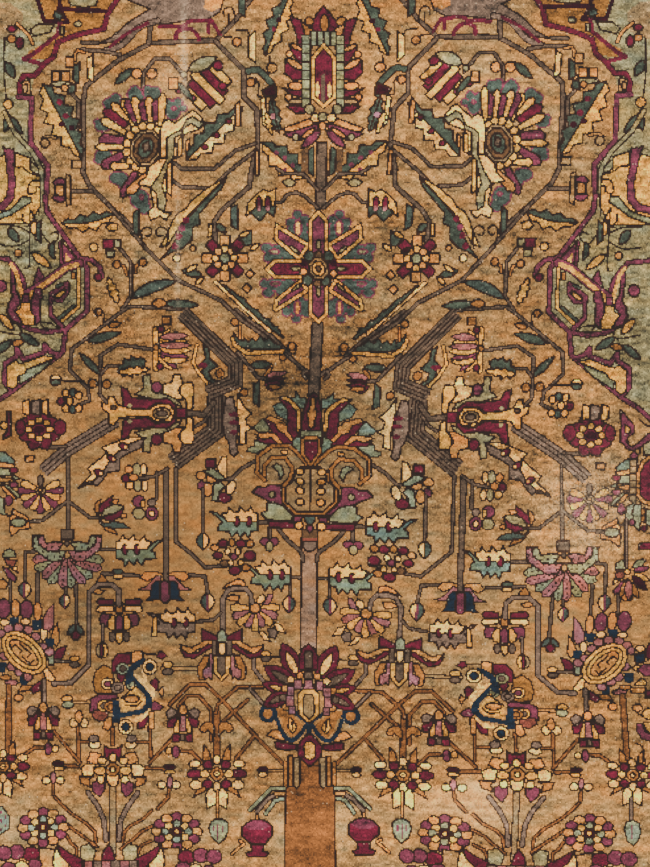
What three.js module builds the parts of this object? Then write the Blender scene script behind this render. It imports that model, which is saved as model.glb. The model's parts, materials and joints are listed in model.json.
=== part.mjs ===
// A cut length of a fine hand-knotted pile rug, lying flat with its pile up.
// Units are millimetres. +X runs across the width, +Y along the warps towards the top of the
// design, and +Z up. The origin is the middle of the underside.

import * as THREE from 'three';
import { mergeVertices } from 'three/addons/utils/BufferGeometryUtils.js';

// Driving dimensions
const WIDTH = 750; // across the knots of one row
const LENGTH = 1000; // along the warps
const GROUND_THICKNESS = 2; // warps and wefts, with the backs of the knots
const PILE_HEIGHT = 4; // sheared pile above the ground weave
const THICKNESS = GROUND_THICKNESS + PILE_HEIGHT;

// The cut edges: how far they wander inwards, over what length, and how the outer pile leans out
const EDGE_WANDER = 1.0;
const EDGE_WAVE = 310;
const EDGE_FALL = 1.6; // loss of pile height at the very edge
const EDGE_FALL_REACH = 14; // distance over which the pile recovers its height

// Uneven shearing and packing of the wefts leaves the pile a little higher and lower
const SWELL = 0.3;
const SWELL_WAVE_X = 265;
const SWELL_WAVE_Y = 340;

// Grid of the upper face
const CELLS_ACROSS = 26;
const CELLS_ALONG = 34;

// Places where the pile is worn low. x and y are the middle, reach_x and reach_y are the
// distances from there at which about a third of the loss is left, and loss is in height.
const WORN_PLACES = [
  { name: 'old fold line', x: -165, y: 300, reach_x: 20, reach_y: 190, loss: 0.7 },
  { name: 'rubbed patch', x: 285, y: -135, reach_x: 60, reach_y: 75, loss: 0.8 },
  { name: 'rubbed row', x: 235, y: -420, reach_x: 70, reach_y: 30, loss: 0.5 },
];

// RUG_COLOUR is the mean of the gold ground, the brown stems and the wine flowers.
const RUG_COLOUR = 0x9a7550;

/** Loss of pile height where the rug is worn, at a point of its plan. */
function wornLoss(x, y) {
  return WORN_PLACES.reduce((sum, place) => {
    const across = (x - place.x) / place.reach_x;
    const along = (y - place.y) / place.reach_y;
    return sum + place.loss * Math.exp(-(across * across) - along * along);
  }, 0);
}

/** Soft unevenness of the whole pile, from -SWELL to SWELL. */
function swell(x, y) {
  const across = Math.sin((2 * Math.PI * x) / SWELL_WAVE_X);
  const along = Math.cos((2 * Math.PI * y) / SWELL_WAVE_Y);
  return SWELL * across * along;
}

/** Loss of height close to a cut edge, where the outer tufts lean over. */
function edgeLoss(x, y) {
  const inset = Math.min(WIDTH / 2 - Math.abs(x), LENGTH / 2 - Math.abs(y));
  const share = Math.max(0, 1 - inset / EDGE_FALL_REACH);
  return EDGE_FALL * share * share;
}

/** Grid line positions from -size/2 to size/2, with a narrow cell at each end for the edge. */
function gridLines(size, cells) {
  const inner = size - 2 * EDGE_FALL_REACH;
  const lines = Array.from({ length: cells - 1 }, (_, i) => -inner / 2 + (inner * i) / (cells - 2));
  return [-size / 2, ...lines, size / 2];
}

/** The rug as one closed solid: a flat underside, upright cut edges and the pile above. */
function rugGeometry() {
  const box = new THREE.BoxGeometry(1, 1, 1, CELLS_ACROSS, CELLS_ALONG, 1);
  box.deleteAttribute('normal');
  box.deleteAttribute('uv');
  const geometry = mergeVertices(box);
  const acrossLines = gridLines(WIDTH, CELLS_ACROSS);
  const alongLines = gridLines(LENGTH, CELLS_ALONG);
  const points = geometry.attributes.position;
  for (let i = 0; i < points.count; i += 1) {
    const x = acrossLines[Math.round((points.getX(i) + 0.5) * CELLS_ACROSS)];
    const y = alongLines[Math.round((points.getY(i) + 0.5) * CELLS_ALONG)];
    const isTop = points.getZ(i) > 0;
    const pileTop = THICKNESS + swell(x, y) - wornLoss(x, y) - edgeLoss(x, y);
    const wander = EDGE_WANDER * (Math.sin((2 * Math.PI * (x + y)) / EDGE_WAVE) - 1);
    const outwardX = ((2 * x) / WIDTH) ** 5;
    const outwardY = ((2 * y) / LENGTH) ** 5;
    points.setXYZ(i, x + wander * outwardX, y + wander * outwardY, isTop ? pileTop : 0);
  }
  geometry.computeBoundingBox();
  const middle = geometry.boundingBox.getCenter(new THREE.Vector3());
  geometry.translate(-middle.x, -middle.y, 0);
  geometry.computeVertexNormals();
  return geometry;
}

const material = new THREE.MeshStandardMaterial({ color: RUG_COLOUR, roughness: 0.85, metalness: 0 });
const rug = new THREE.Mesh(rugGeometry(), material);
rug.name = 'rug';

const part = new THREE.Group();
part.add(rug);

export default part;
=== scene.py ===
# A cut length of a fine hand-knotted rug, lying flat with its pile up.
# Its tree design is a chart with one wool for each knot. Each knot is one face of the pile.

import json

import bpy
import numpy as np
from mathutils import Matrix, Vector

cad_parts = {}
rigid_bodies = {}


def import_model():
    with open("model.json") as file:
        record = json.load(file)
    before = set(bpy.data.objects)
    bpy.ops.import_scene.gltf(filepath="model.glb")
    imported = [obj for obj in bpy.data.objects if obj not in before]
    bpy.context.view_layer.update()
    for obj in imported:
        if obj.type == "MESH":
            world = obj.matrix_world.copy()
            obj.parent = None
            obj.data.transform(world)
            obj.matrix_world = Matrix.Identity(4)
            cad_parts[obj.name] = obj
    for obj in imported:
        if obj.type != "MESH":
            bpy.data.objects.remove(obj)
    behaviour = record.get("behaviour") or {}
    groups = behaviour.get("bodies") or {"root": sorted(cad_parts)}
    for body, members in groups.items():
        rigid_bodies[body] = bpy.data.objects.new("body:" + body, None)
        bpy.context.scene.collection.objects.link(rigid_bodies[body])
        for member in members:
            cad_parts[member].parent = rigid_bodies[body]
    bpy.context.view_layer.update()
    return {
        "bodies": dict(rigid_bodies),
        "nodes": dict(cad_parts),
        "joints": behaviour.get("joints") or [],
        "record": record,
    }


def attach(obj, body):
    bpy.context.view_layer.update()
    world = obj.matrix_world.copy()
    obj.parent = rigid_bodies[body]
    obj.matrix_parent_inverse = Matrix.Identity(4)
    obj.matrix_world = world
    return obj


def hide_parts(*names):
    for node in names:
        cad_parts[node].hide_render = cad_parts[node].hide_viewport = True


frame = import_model()


def table(columns, *rows):
    """Rows as dictionaries with the named columns."""
    return [dict(zip(columns.split(), row)) for row in rows]


# The photograph
PHOTO_WIDTH = 650
PHOTO_HEIGHT = 867
VIEW_WIDTH_MM = 740
MM_PER_PIXEL = VIEW_WIDTH_MM / PHOTO_WIDTH

# The knots
RUG_WIDTH_MM = 750
RUG_LENGTH_MM = 1000
KNOT_MM = 1.5
COLUMNS = int(RUG_WIDTH_MM / KNOT_MM)
ROWS = int(RUG_LENGTH_MM / KNOT_MM)
LINE_KNOTS = 1.55
SMALL_LINE_KNOTS = 1.3
FINE_LINE_KNOTS = 1.15
STEM_RIM_SHARE = 0.7

# The outline of a leaf: where it is fullest, how round it is and how deep its teeth are cut
LEAF_LEAN = 0.9
LEAF_ROUNDNESS = 0.75
LEAF_TOOTH_SHARE = 0.55
LEAF_STEPS = 9

# A strip with teeth like a comb: how it swells, and where along it the teeth stand
COMB_STEPS = 8
COMB_ENDS = (0.03, 0.97)
COMB_FULLNESS = 0.4
TOOTH_START = 0.45
TEETH_FROM = 0.1
TEETH_TO = 0.93

# A cross flower: the sizes and places of its parts as shares of its size
CROSS_COUNT = 8
NEAR_PETAL = 0.17
NEAR_REACH = 0.4
FAR_PETAL = 0.24
FAR_REACH = 0.78
FAR_OUTLINE = [(-0.9, -1), (-0.9, 0.8), (0, 1.0), (0.9, 0.8), (0.9, -1)]
HEART_SHARE = 0.22

# Where the smaller leaf inside another starts and ends, as shares of the length
HEART_SPAN = (0.1, 0.78)

# A striped bud and a framed petal: how far the bud's corners are cut, how far the petal reaches
# below its foot, and the place and size of its bar. Pixels, apart from the shares.
BUD_TRIM_SHARE = 0.25
PETAL_FOOT = 6
BAR_SHARE = 0.25
BAR_SIZE = (2.2, 5)

# Widths in pixels of the coloured fringe of a lobe, and of the ink between bundled stems
FRINGE = 1.6
BETWEEN_STEMS = 1.5

# Dyed wools, as sRGB values from 0 to 255
WOOLS = {
    "gold": (149, 106, 56),
    "straw": (209, 143, 52),
    "cream": (246, 173, 79),
    "apricot": (186, 116, 47),
    "orange": (143, 88, 35),
    "rust": (110, 54, 40),
    "sage": (131, 116, 74),
    "mist": (115, 115, 82),
    "jade": (93, 105, 84),
    "teal": (53, 60, 48),
    "slate": (55, 64, 55),
    "navy": (13, 27, 40),
    "wine": (80, 16, 33),
    "rose": (95, 39, 53),
    "pink": (136, 78, 76),
    "plum": (37, 3, 13),
    "stem": (81, 63, 48),
    "mauve": (102, 80, 64),
    "amber": (135, 86, 32),
    "dun": (125, 97, 60),
    "bark": (131, 99, 75),
    "root": (113, 67, 30),
    "brown": (84, 57, 33),
    "ink": (33, 18, 11),
}
WOOL_NAMES = list(WOOLS)
WOOL_NUMBER = {name: number for number, name in enumerate(WOOL_NAMES)}

# The weave leans. Each row gives the x of the middle of the tree at one y of the photograph, and
# how far the right half is pushed across and down from the mirror image of the left half, at the
# distances of PULL_AT from the middle.
PULL_AT = (0, 60, 120, 180, 240, 320)
PULL = table(
    "y axis across down",
    (0, 323, (0, 7, 8.5, 5, 4.5, 6), (0, 0, -3, -4, -3, -2.5)),
    (90, 323.5, (0, 6, 3.5, -1, 0.5, 3), (0, -2, -7.5, -7, -4, -2)),
    (180, 321, (0, 3.5, 3, 0.5, -0.5, -0.5), (0, 0, -2, -4, -3, 0)),
    (270, 319, (0, 2.5, 3, -1.5, -1, -2), (0, 1, 0.5, 0, 0, 4.5)),
    (355, 317, (0, 4, 6.5, 1, 0, 0.5), (0, 3, 1.5, 1, 3, 5)),
    (420, 311.5, (0, 7.5, 10, 7.5, 6.5, 7.5), (0, 4, 4.5, 3.5, 5, 6.5)),
    (490, 310, (0, 5.5, 9.5, 7.5, 9.5, 9.5), (0, 4.5, 8.5, 10, 9, 7.5)),
    (560, 309.5, (0, 5, 9, 5, 12, 13), (0, 5.5, 10, 12.5, 13, 12)),
    (620, 308.5, (0, 4, 8, 6, 9, 10.5), (0, 7, 10.5, 13, 13.5, 12.5)),
    (690, 308.5, (0, 2.5, 4.5, 8, 12, 14), (0, 5, 6.5, 8.5, 9, 9)),
    (770, 310, (0, -1, 0.5, 8.5, 14.5, 16), (0, 0.5, 2, 4.5, 6, 9)),
    (867, 310, (0, 2, 0, 5, 8.5, 14), (0, -1.5, 2, 3.5, 4.5, 7.5)),
)
LEFT = "left"
RIGHT = "right"
CENTRE = (LEFT,)


def lean(y):
    """The x of the middle of the tree at the rows y."""
    return np.interp(y, [row["y"] for row in PULL], [row["axis"] for row in PULL])


def pull(y, out, what):
    """How far the right half strays from the mirror image at rows y, out from the middle."""
    stray = 0
    for number, unit in enumerate(np.eye(len(PULL_AT))):
        column = np.interp(y, [row["y"] for row in PULL], [row[what][number] for row in PULL])
        stray = stray + column * np.interp(out, PULL_AT, unit)
    return stray


def knots_of(points, side):
    """Chart columns and rows of points that are given in pixels of the photo's left half."""
    x, y = np.asarray(points, float).T
    if side == RIGHT:
        out = lean(y) - x
        x = lean(y) + out + pull(y, out, "across")
        y = y + pull(y, out, "down")
    pixels_per_knot = KNOT_MM / MM_PER_PIXEL
    column = (x - PHOTO_WIDTH / 2) / pixels_per_knot + COLUMNS / 2 - 0.5
    row = (y - PHOTO_HEIGHT / 2) / pixels_per_knot + ROWS / 2 - 0.5
    return np.column_stack([column, row])


def curved(points, steps=6):
    """A smooth line through the points."""
    p = np.asarray(points, float)
    if len(p) < 3:
        return p
    padded = np.vstack([2 * p[0] - p[1], p, 2 * p[-1] - p[-2]])
    out = []
    for a, b, c, d in zip(padded, padded[1:], padded[2:], padded[3:]):
        for t in np.arange(steps) / steps:
            out.append(0.5 * (2 * b + (c - a) * t + (2 * a - 5 * b + 4 * c - d) * t**2
                              + (3 * b - a - 3 * c + d) * t**3))
    out.append(p[-1])
    return np.array(out)


def around(centre, radii, turn=0, count=20):
    """Points of an oval."""
    angle = np.arange(count) * 2 * np.pi / count
    x = radii[0] * np.cos(angle)
    y = radii[1] * np.sin(angle)
    c, s = np.cos(np.radians(turn)), np.sin(np.radians(turn))
    return np.column_stack([centre[0] + x * c - y * s, centre[1] + x * s + y * c])


class Chart:
    """The knot chart: the number of one wool for each knot."""

    def __init__(self, ground):
        """A chart of one wool."""
        self.knots = np.full((ROWS, COLUMNS), WOOL_NUMBER[ground], np.uint8)

    def window(self, points, margin):
        """Knot positions near the points, with the array slice that holds them."""
        low = np.floor(points.min(0) - margin).astype(int)
        high = np.ceil(points.max(0) + margin).astype(int) + 1
        c0, r0 = np.maximum(low, 0)
        c1, r1 = np.minimum(high, [COLUMNS, ROWS])
        if c0 >= c1 or r0 >= r1:
            return None, None
        column, row = np.meshgrid(np.arange(c0, c1), np.arange(r0, r1))
        return (slice(r0, r1), slice(c0, c1)), np.stack([column, row], -1).astype(float)

    def distance(self, where, starts, ends):
        """Distance of each knot from the nearest of the straight pieces."""
        best = np.full(where.shape[:2], np.inf)
        for a, b in zip(starts, ends):
            along = b - a
            length2 = max(float(along @ along), 1e-9)
            t = np.clip(((where - a) @ along) / length2, 0, 1)
            gap = where - a - t[..., None] * along
            best = np.minimum(best, (gap**2).sum(-1))
        return np.sqrt(best)

    def fill(self, outline, wool, rim, line):
        """Fill a closed outline with wool, and knot its rim."""
        area, where = self.window(outline, line)
        if area is None:
            return
        following = np.roll(outline, -1, 0)
        inside = np.zeros(where.shape[:2], bool)
        for (x0, y0), (x1, y1) in zip(outline, following):
            if y0 == y1:
                continue
            crosses = (where[..., 1] < y0) != (where[..., 1] < y1)
            inside ^= crosses & (where[..., 0] < x0 + (where[..., 1] - y0) * (x1 - x0) / (y1 - y0))
        part = self.knots[area]
        if wool:
            part[inside] = WOOL_NUMBER[wool]
        if rim:
            part[self.distance(where, outline, following) < line / 2] = WOOL_NUMBER[rim]

    def stroke(self, path, width, wool):
        """Knot a line of wool along an open path."""
        area, where = self.window(path, width)
        if area is None:
            return
        near = self.distance(where, path[:-1], path[1:]) < width / 2
        self.knots[area][near] = WOOL_NUMBER[wool]


class Pen:
    """Draws on a chart, mirrored on both halves, in pixels of the photo's left half.

    A pen can be placed somewhere and turned, so that a motif is drawn about its own middle,
    with +x to its right and +y up its length.
    """

    def __init__(self, chart, at=(0, 0), turn=None, scale=1.0, sides=(LEFT, RIGHT)):
        """A pen at a place, that draws on one side of the tree or on both."""
        self.chart = chart
        self.at = np.array(at, float)
        self.turn = turn
        self.scale = scale
        self.sides = sides

    def placed(self, at, turn=0, scale=1.0):
        """A pen for one motif: turn is the clockwise angle of its top from straight up."""
        return Pen(self.chart, self.spots([at])[0], (self.turn or 0) + turn, self.scale * scale,
                   self.sides)

    def spots(self, points):
        """Pixel positions of points given for this pen."""
        p = np.asarray(points, float)
        if self.turn is None:
            return p + self.at
        c, s = np.cos(np.radians(self.turn)), np.sin(np.radians(self.turn))
        x, y = p.T * self.scale
        return self.at + np.column_stack([x * c + y * s, x * s - y * c])

    def patch(self, points, wool, rim="ink", line=LINE_KNOTS):
        """A filled outline with a rim of a given number of knots."""
        for side in self.sides:
            self.chart.fill(knots_of(self.spots(points), side), wool, rim, line)

    def dot(self, at, radius, wool, rim="ink", line=LINE_KNOTS):
        """A filled circle."""
        self.oval(at, (radius, radius), 0, wool, rim, line)

    def oval(self, at, radii, turn, wool, rim="ink", line=LINE_KNOTS):
        """A filled oval, turned clockwise."""
        self.patch(around(at, radii, -turn), wool, rim, line)

    def line(self, points, wool="ink", width=None, smooth=True):
        """A thin line, one knot wide unless a width in pixels is given."""
        path = curved(points) if smooth else np.asarray(points, float)
        knots = width * self.scale * MM_PER_PIXEL / KNOT_MM if width else LINE_KNOTS
        for side in self.sides:
            self.chart.stroke(knots_of(self.spots(path), side), knots, wool)

    def stems(self, paths, width, wool="stem", smooth=True):
        """Branches that join: all the rims are knotted first, then all the wool."""
        rim = 2 * LINE_KNOTS * KNOT_MM / MM_PER_PIXEL / self.scale * STEM_RIM_SHARE
        for path in paths:
            self.line(path, "ink", width + rim, smooth)
        for path in paths:
            self.line(path, wool, width, smooth)

    def leaf(self, base, tip, width, wool, half=None, teeth=0, bend=0.0, rim="ink",
             line=LINE_KNOTS):
        """A pointed leaf. half is the wool of its right side, and teeth the steps of each edge."""
        base, tip = np.array(base, float), np.array(tip, float)
        along = tip - base
        length = np.hypot(*along)
        side_way = np.array([-along[1], along[0]]) / length
        if self.turn is None:
            side_way = -side_way
        t = np.linspace(0, 1, max(LEAF_STEPS, 2 * teeth + 1))
        reach = width / 2 * np.sin(np.pi * t**LEAF_LEAN)**LEAF_ROUNDNESS
        if teeth:
            reach[2:-1:2] *= LEAF_TOOTH_SHARE
        middle = base + t[:, None] * along + (bend * np.sin(np.pi * t))[:, None] * side_way
        left = middle - reach[:, None] * side_way
        right = middle + reach[:, None] * side_way
        self.patch(np.vstack([left, right[::-1]]), wool, rim, line)
        if half:
            self.patch(np.vstack([middle, right[::-1]]), half, rim, line)

    def petals(self, centre, count, inner, outer, width, wool, first=0):
        """Petals that point out from a centre, all around it."""
        for angle in np.radians(first + np.arange(count) * 360 / count):
            away = np.array([np.sin(angle), np.cos(angle)])
            self.leaf(centre + inner * away, centre + outer * away, width, wool)


def axis_patch(pen, half_outline, wool, rim="ink", line=LINE_KNOTS):
    """A patch across the middle of the tree, from points (distance from the middle, row)."""
    out, y = np.asarray(half_outline, float).T
    x = lean(y)
    left = np.column_stack([x - out, y])
    right = np.column_stack([x + out, y])
    Pen(pen.chart, sides=CENTRE).patch(np.vstack([left, right[::-1]]), wool, rim, line)


def axis_line(pen, rows, width, wool, rim="ink"):
    """A straight upright piece on the middle of the tree."""
    axis_patch(pen, [(width / 2, rows[0]), (width / 2, rows[1])], wool, rim)


def single(pen, at):
    """A pen that draws once about a place, for motifs on the middle of the tree."""
    return Pen(pen.chart, at, 0, sides=CENTRE)


def inset(points, gap):
    """The corners of an outline moved inwards by a gap."""
    p = np.asarray(points, float)
    ahead = np.roll(p, -1, 0) - p
    way_round = np.sign(np.sum(p[:, 0] * ahead[:, 1] - p[:, 1] * ahead[:, 0]))
    normal = way_round * np.column_stack([-ahead[:, 1], ahead[:, 0]]) / np.hypot(*ahead.T)[:, None]
    before = np.roll(normal, 1, 0)
    share = 1 + np.sum(normal * before, 1, keepdims=True)
    return p + gap * (normal + before) / np.maximum(share, 0.5)


def framed_patch(pen, outline, wool, frame="straw", gap=4.2):
    """A patch with a light frame inside its thin ink rim."""
    pen.patch(outline, frame, line=FINE_LINE_KNOTS)
    pen.patch(inset(outline, gap), wool, line=FINE_LINE_KNOTS)


def framed_petal(pen, base, tip, width, wool, frame="straw", shoulder=0.2, bar=None):
    """A long six-sided petal with a light frame and an optional bar up its middle."""
    neck = tip - shoulder * (tip - base)
    foot = base - PETAL_FOOT
    outline = [(-width, foot), (-width, neck), (0, tip), (width, neck), (width, foot)]
    framed_patch(pen, outline, wool, frame)
    if bar:
        pen.oval((0, base + BAR_SHARE * (tip - base)), BAR_SIZE, 0, bar)


def wedge(pen, base, tip, width, wool, shoulder=0.82, foot=0.6, end=0.3):
    """A petal that widens from its foot to its shoulder and ends in a short blunt point."""
    base, tip = np.array(base, float), np.array(tip, float)
    across = np.array([base[1] - tip[1], tip[0] - base[0]])
    across = across * width / 2 / np.hypot(*across)
    widest = base + shoulder * (tip - base)
    pen.patch([base - foot * across, widest - across, tip - end * across, tip + end * across,
               widest + across, base + foot * across], wool)


def fringed_lobe(pen, lobes, wool, fringe, heart=None, heart_at=(0, 0), heart_size=(3, 6)):
    """Overlapping ovals of one wool with a coloured fringe in place of an ink rim."""
    for paint_wool, grown in ((fringe, FRINGE), (wool, 0)):
        for x, y, rx, ry in lobes:
            pen.oval((x, y), (rx + grown, ry + grown), 0, paint_wool, None)
    if heart:
        pen.oval(heart_at, heart_size, 0, heart, fringe)


def striped_bud(pen, length, width, wools):
    """A closed bud about its middle, striped along its length."""
    count = len(wools)
    for number, wool in enumerate(wools):
        low = -width / 2 + width * number / count
        high = low + width / count
        trim = BUD_TRIM_SHARE * length * abs((low + high) / width)
        pen.patch([(low, -length / 2 + trim), (low, length / 2 - trim), (high, length / 2 - trim),
                   (high, -length / 2 + trim)], wool)


def bar_leaf(pen, base, tip, width, wool, lean_x=2):
    """A straight narrow leaf with slanted ends."""
    (x0, y0), (x1, y1) = base, tip
    w = width / 2
    pen.patch([(x0 - w, y0 - lean_x), (x1 - w, y1 + lean_x), (x1, y1), (x1 + w, y1 - lean_x),
               (x0 + w, y0 + lean_x)], wool)


def comb_leaf(pen, path, width, wool, teeth, side=1, tooth=5):
    """A strip that follows a path, with teeth pointing out on one side."""
    p = curved(path, COMB_STEPS)
    along = np.gradient(p, axis=0)
    along /= np.maximum(np.hypot(*along.T), 1e-6)[:, None]
    across = np.column_stack([along[:, 1], -along[:, 0]]) * side
    t = np.linspace(0, 1, len(p))
    swell = np.sin(np.pi * np.clip(t, *COMB_ENDS)) ** COMB_FULLNESS
    saw = (t * teeth) % 1
    toothed = (t > TEETH_FROM) & (t < TEETH_TO)
    reach = width * swell + tooth * np.maximum(0, saw - TOOTH_START) * toothed
    pen.patch(np.vstack([p, (p + across * reach[:, None])[::-1]]), wool)


def cross_flower(pen, heart="sage", near=("straw", "apricot"), far=("apricot", "wine"), size=20):
    """A flower of square petals: eight small ones about the heart and eight large ones."""
    angles = np.radians(360 / CROSS_COUNT * np.arange(CROSS_COUNT))
    for number, angle in enumerate(angles):
        away = np.array([np.sin(angle), np.cos(angle)])
        across = np.array([away[1], -away[0]])
        middle = away * size * FAR_REACH
        corners = [middle + FAR_PETAL * size * (a * across + b * away) for a, b in FAR_OUTLINE]
        pen.patch(corners, far[number % len(far)])
    for number, angle in enumerate(angles):
        out = NEAR_REACH * size
        pen.dot((out * np.sin(angle), out * np.cos(angle)), NEAR_PETAL * size,
                near[number % len(near)])
    pen.dot((0, 0), HEART_SHARE * size, heart)


def ovals(pen, rows, mirrored=False, line=SMALL_LINE_KNOTS, rim="ink"):
    """Small ovals from rows of (x, y, half width, half height, wool)."""
    for x, y, rx, ry, wool in rows:
        for s in (1, -1) if mirrored else (1,):
            pen.patch(around((s * x, y), (rx, ry)), wool, rim, line)


def patches(pen, rows, **how):
    """Patches from rows of (wool, outline)."""
    for wool, outline in rows:
        pen.patch(outline, wool, **how)


def dots(pen, rows, **how):
    """Round dots from rows of (x, y, radius, wool)."""
    for x, y, radius, wool in rows:
        pen.dot((x, y), radius, wool, **how)


def lines(pen, paths, **how):
    """Lines of one wool along several paths."""
    for path in paths:
        pen.line(path, **how)


def leaves(pen, rows, **how):
    """Plain leaves from rows of (base, tip, width, wool)."""
    for base, tip, width, wool in rows:
        pen.leaf(base, tip, width, wool, **how)


def bar_leaves(pen, rows):
    """Narrow straight leaves from rows of (base, tip, width, wool)."""
    for base, tip, width, wool in rows:
        bar_leaf(pen, base, tip, width, wool)


def axis_patches(pen, rows, **how):
    """Patches across the middle of the tree, from rows of (wool, half outline)."""
    for wool, half_outline in rows:
        axis_patch(pen, half_outline, wool, **how)


def twins(pen, points, wool, **how):
    """A patch and its mirror image about the upright middle of the pen."""
    for s in (1, -1):
        pen.patch([(s * x, y) for x, y in points], wool, **how)


def twin_patches(pen, rows):
    """Patches and their mirror images, from rows of (wool, outline)."""
    for wool, outline in rows:
        twins(pen, outline, wool, line=SMALL_LINE_KNOTS)


def bead_ring(pen, centre, reach, size, wools, count):
    """Ovals around an oval, with the wools in turn, the first at the top."""
    for number in range(count):
        angle = 2 * np.pi * number / count
        x = centre[0] + reach[0] * np.sin(angle)
        y = centre[1] + reach[1] * np.cos(angle)
        pen.patch(around((x, y), size), wools[number % len(wools)], line=SMALL_LINE_KNOTS)


def beside(path, gap):
    """A path moved sideways by a gap."""
    p = np.asarray(path, float)
    ahead = np.diff(p, axis=0)
    normal = np.column_stack([-ahead[:, 1], ahead[:, 0]]) / np.hypot(*ahead.T)[:, None]
    before = np.vstack([normal[:1], normal])
    after = np.vstack([normal, normal[-1:]])
    share = 1 + np.sum(before * after, 1, keepdims=True)
    return p + gap * (before + after) / np.maximum(share, 0.5)


def bundle(pen, path, count, gap, wool="mauve"):
    """Stems that run side by side, the first along the path, with thin ink between them."""
    for number in range(count):
        pen.line(beside(path, gap * number), wool, gap, smooth=False)
    for number in range(count + 1):
        pen.line(beside(path, gap * (number - 0.5)), "ink", BETWEEN_STEMS, smooth=False)


def rays(pen, rows, rim="ink"):
    """Small leaves from rows of (base, tip, width, wool)."""
    for base, tip, width, wool in rows:
        pen.leaf(base, tip, width, wool, rim=rim, line=FINE_LINE_KNOTS)


def ring_stems(pen):
    """The branch that runs as a big ring about each side palmette, and what leaves it."""
    ring = [(255, -6), (234, 22), (216, 40), (152, 42), (138, 49), (118, 60), (86, 86), (84, 100),
            (83, 172), (90, 186), (112, 208), (132, 226)]
    pen.stems([ring], 3.0, "stem", smooth=False)
    outer = [(216, 41), (224, 50), (244, 70), (244, 97), (257, 110), (258, 146), (251, 170),
             (250, 186), (222, 210), (214, 222), (216, 246)]
    pen.stems([outer, [(151, 22), (149, 42)]], 3.0, "stem", smooth=False)
    strands = [
        [(256, 143), (236, 150), (214, 169), (182, 169), (175, 163)],
        [(256, 150), (228, 172), (212, 188), (182, 187), (172, 180)],
        [(186, 78), (180, 70), (170, 58), (155, 58), (144, 72), (143, 88)],
        [(68, 89), (79, 101), (78, 135), (83, 150)],
        [(70, 191), (92, 191)],
    ]
    pen.stems(strands, 2.0, "stem", smooth=False)
    pen.patch([(255, 150), (259, 150), (259, 175), (255, 175)], "apricot")


def cloud_band(pen):
    """The mauve and wine cloud at the top, with its long trailing ends."""
    pen.patch([(122, -4), (226, -8), (220, 12), (208, 19), (186, 20), (162, 24), (150, 20),
               (136, 30), (122, 40), (98, 43), (112, 36), (130, 20), (150, 8)], "mauve")
    pen.patch([(226, -8), (206, -6), (204, 8), (212, 12), (220, 8)], "apricot", None)
    strands = [[(158, 20), (140, 26), (122, 44), (106, 50)], [(148, 22), (128, 32), (110, 46)]]
    pen.stems(strands[:1], 4.5, "mauve")
    pen.line(strands[1], "wine", 3.4)
    pen.stems([[(82, 42), (98, 42)], [(82, 49), (106, 51), (120, 54)]], 2.2, "stem", smooth=False)
    pen.line([(160, 26), (184, 25), (190, 21), (212, 21), (220, 34)], "wine", 4, smooth=False)
    pen.line([(209, 24), (209, 32)], "wine", 4)
    pen.line([(176, 38), (177, 32), (184, 28), (192, 29), (198, 35), (199, 39)], "wine", 4.4)


def crest_leaves(pen):
    """Leaves, curls and berries between the ring and the trunk at the top."""
    lines(pen, [
        [(224, 16), (224, 10), (230, 7), (234, 12), (235, 24)], [(229, 24), (229, 14)],
        [(224, 37), (232, 37)], [(270, 56), (269, 64)],
    ])
    bar_leaf(pen, (242, 15), (242, -8), 7, "teal")
    pen.dot((237, 42), 4.6, "orange")
    pen.dot((272, 68), 5, "apricot")
    pen.line([(236, 30), (247, 30), (249, 34)], smooth=False)
    bar_leaf(pen, (252, 60), (252, 34), 7.5, "cream", 3)
    pen.leaf((290, -6), (265, 56), 25, "teal", half="straw", teeth=5)
    pen.dot((279, 20), 3, "plum", None)
    pen.dot((274, 29), 2.4, "wine", None)
    # Dark branch with its bud and leaf
    pen.stems([[(248, 71), (258, 70), (266, 77), (273, 86), (274, 95)]], 5, "teal")
    pen.patch([(262, 90), (274, 84), (277, 96), (264, 96)], "plum")
    pen.dot((251, 82), 4.6, "orange")
    pen.line([(256, 78), (259, 84), (258, 96), (264, 97)], smooth=False)
    bar_leaf(pen, (265, 126), (263, 97), 4.6, "cream")
    pen.leaf((271, 98), (279, 133), 13, "teal", half="teal", teeth=3)
    pen.leaf((266, 112), (272, 135), 8, "straw", teeth=2)
    pen.dot((273, 116), 2.6, "pink", None)
    # Spotted leaf beside the trunk
    pen.leaf((304, 178), (262, 142), 30, "teal", half="straw", teeth=4)
    for x, y in ((276, 153), (285, 158), (293, 165), (285, 170)):
        pen.dot((x, y), 2.4, "rose", None)
    pen.patch([(301, 150), (308, 148), (308, 172), (302, 172)], "brown", None)
    bar_leaf(pen, (311, 174), (311, 148), 5.4, "teal")
    # Arched twig with the double tulip
    pen.stems([[(318, 208), (305, 196), (296, 192), (288, 194), (281, 202), (272, 203)],
               [(318, 190), (304, 174), (284, 173), (277, 168)]], 1.8, "stem", smooth=False)
    pen.leaf((296, 183), (282, 182), 8, "sage")
    patches(pen, [
        ("straw", [(246, 216), (248, 203), (258, 193), (264, 189), (269, 192), (276, 188), (275, 206),
          (262, 206)]),
        ("teal", [(250, 212), (257, 206), (276, 206), (274, 217), (268, 212), (260, 221), (254, 216)]),
    ])
    for x in (259, 268):
        pen.oval((x, 203), (2.8, 7), 0, "wine")
        pen.oval((x, 208), (1.8, 3), 0, "pink", None)


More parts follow.
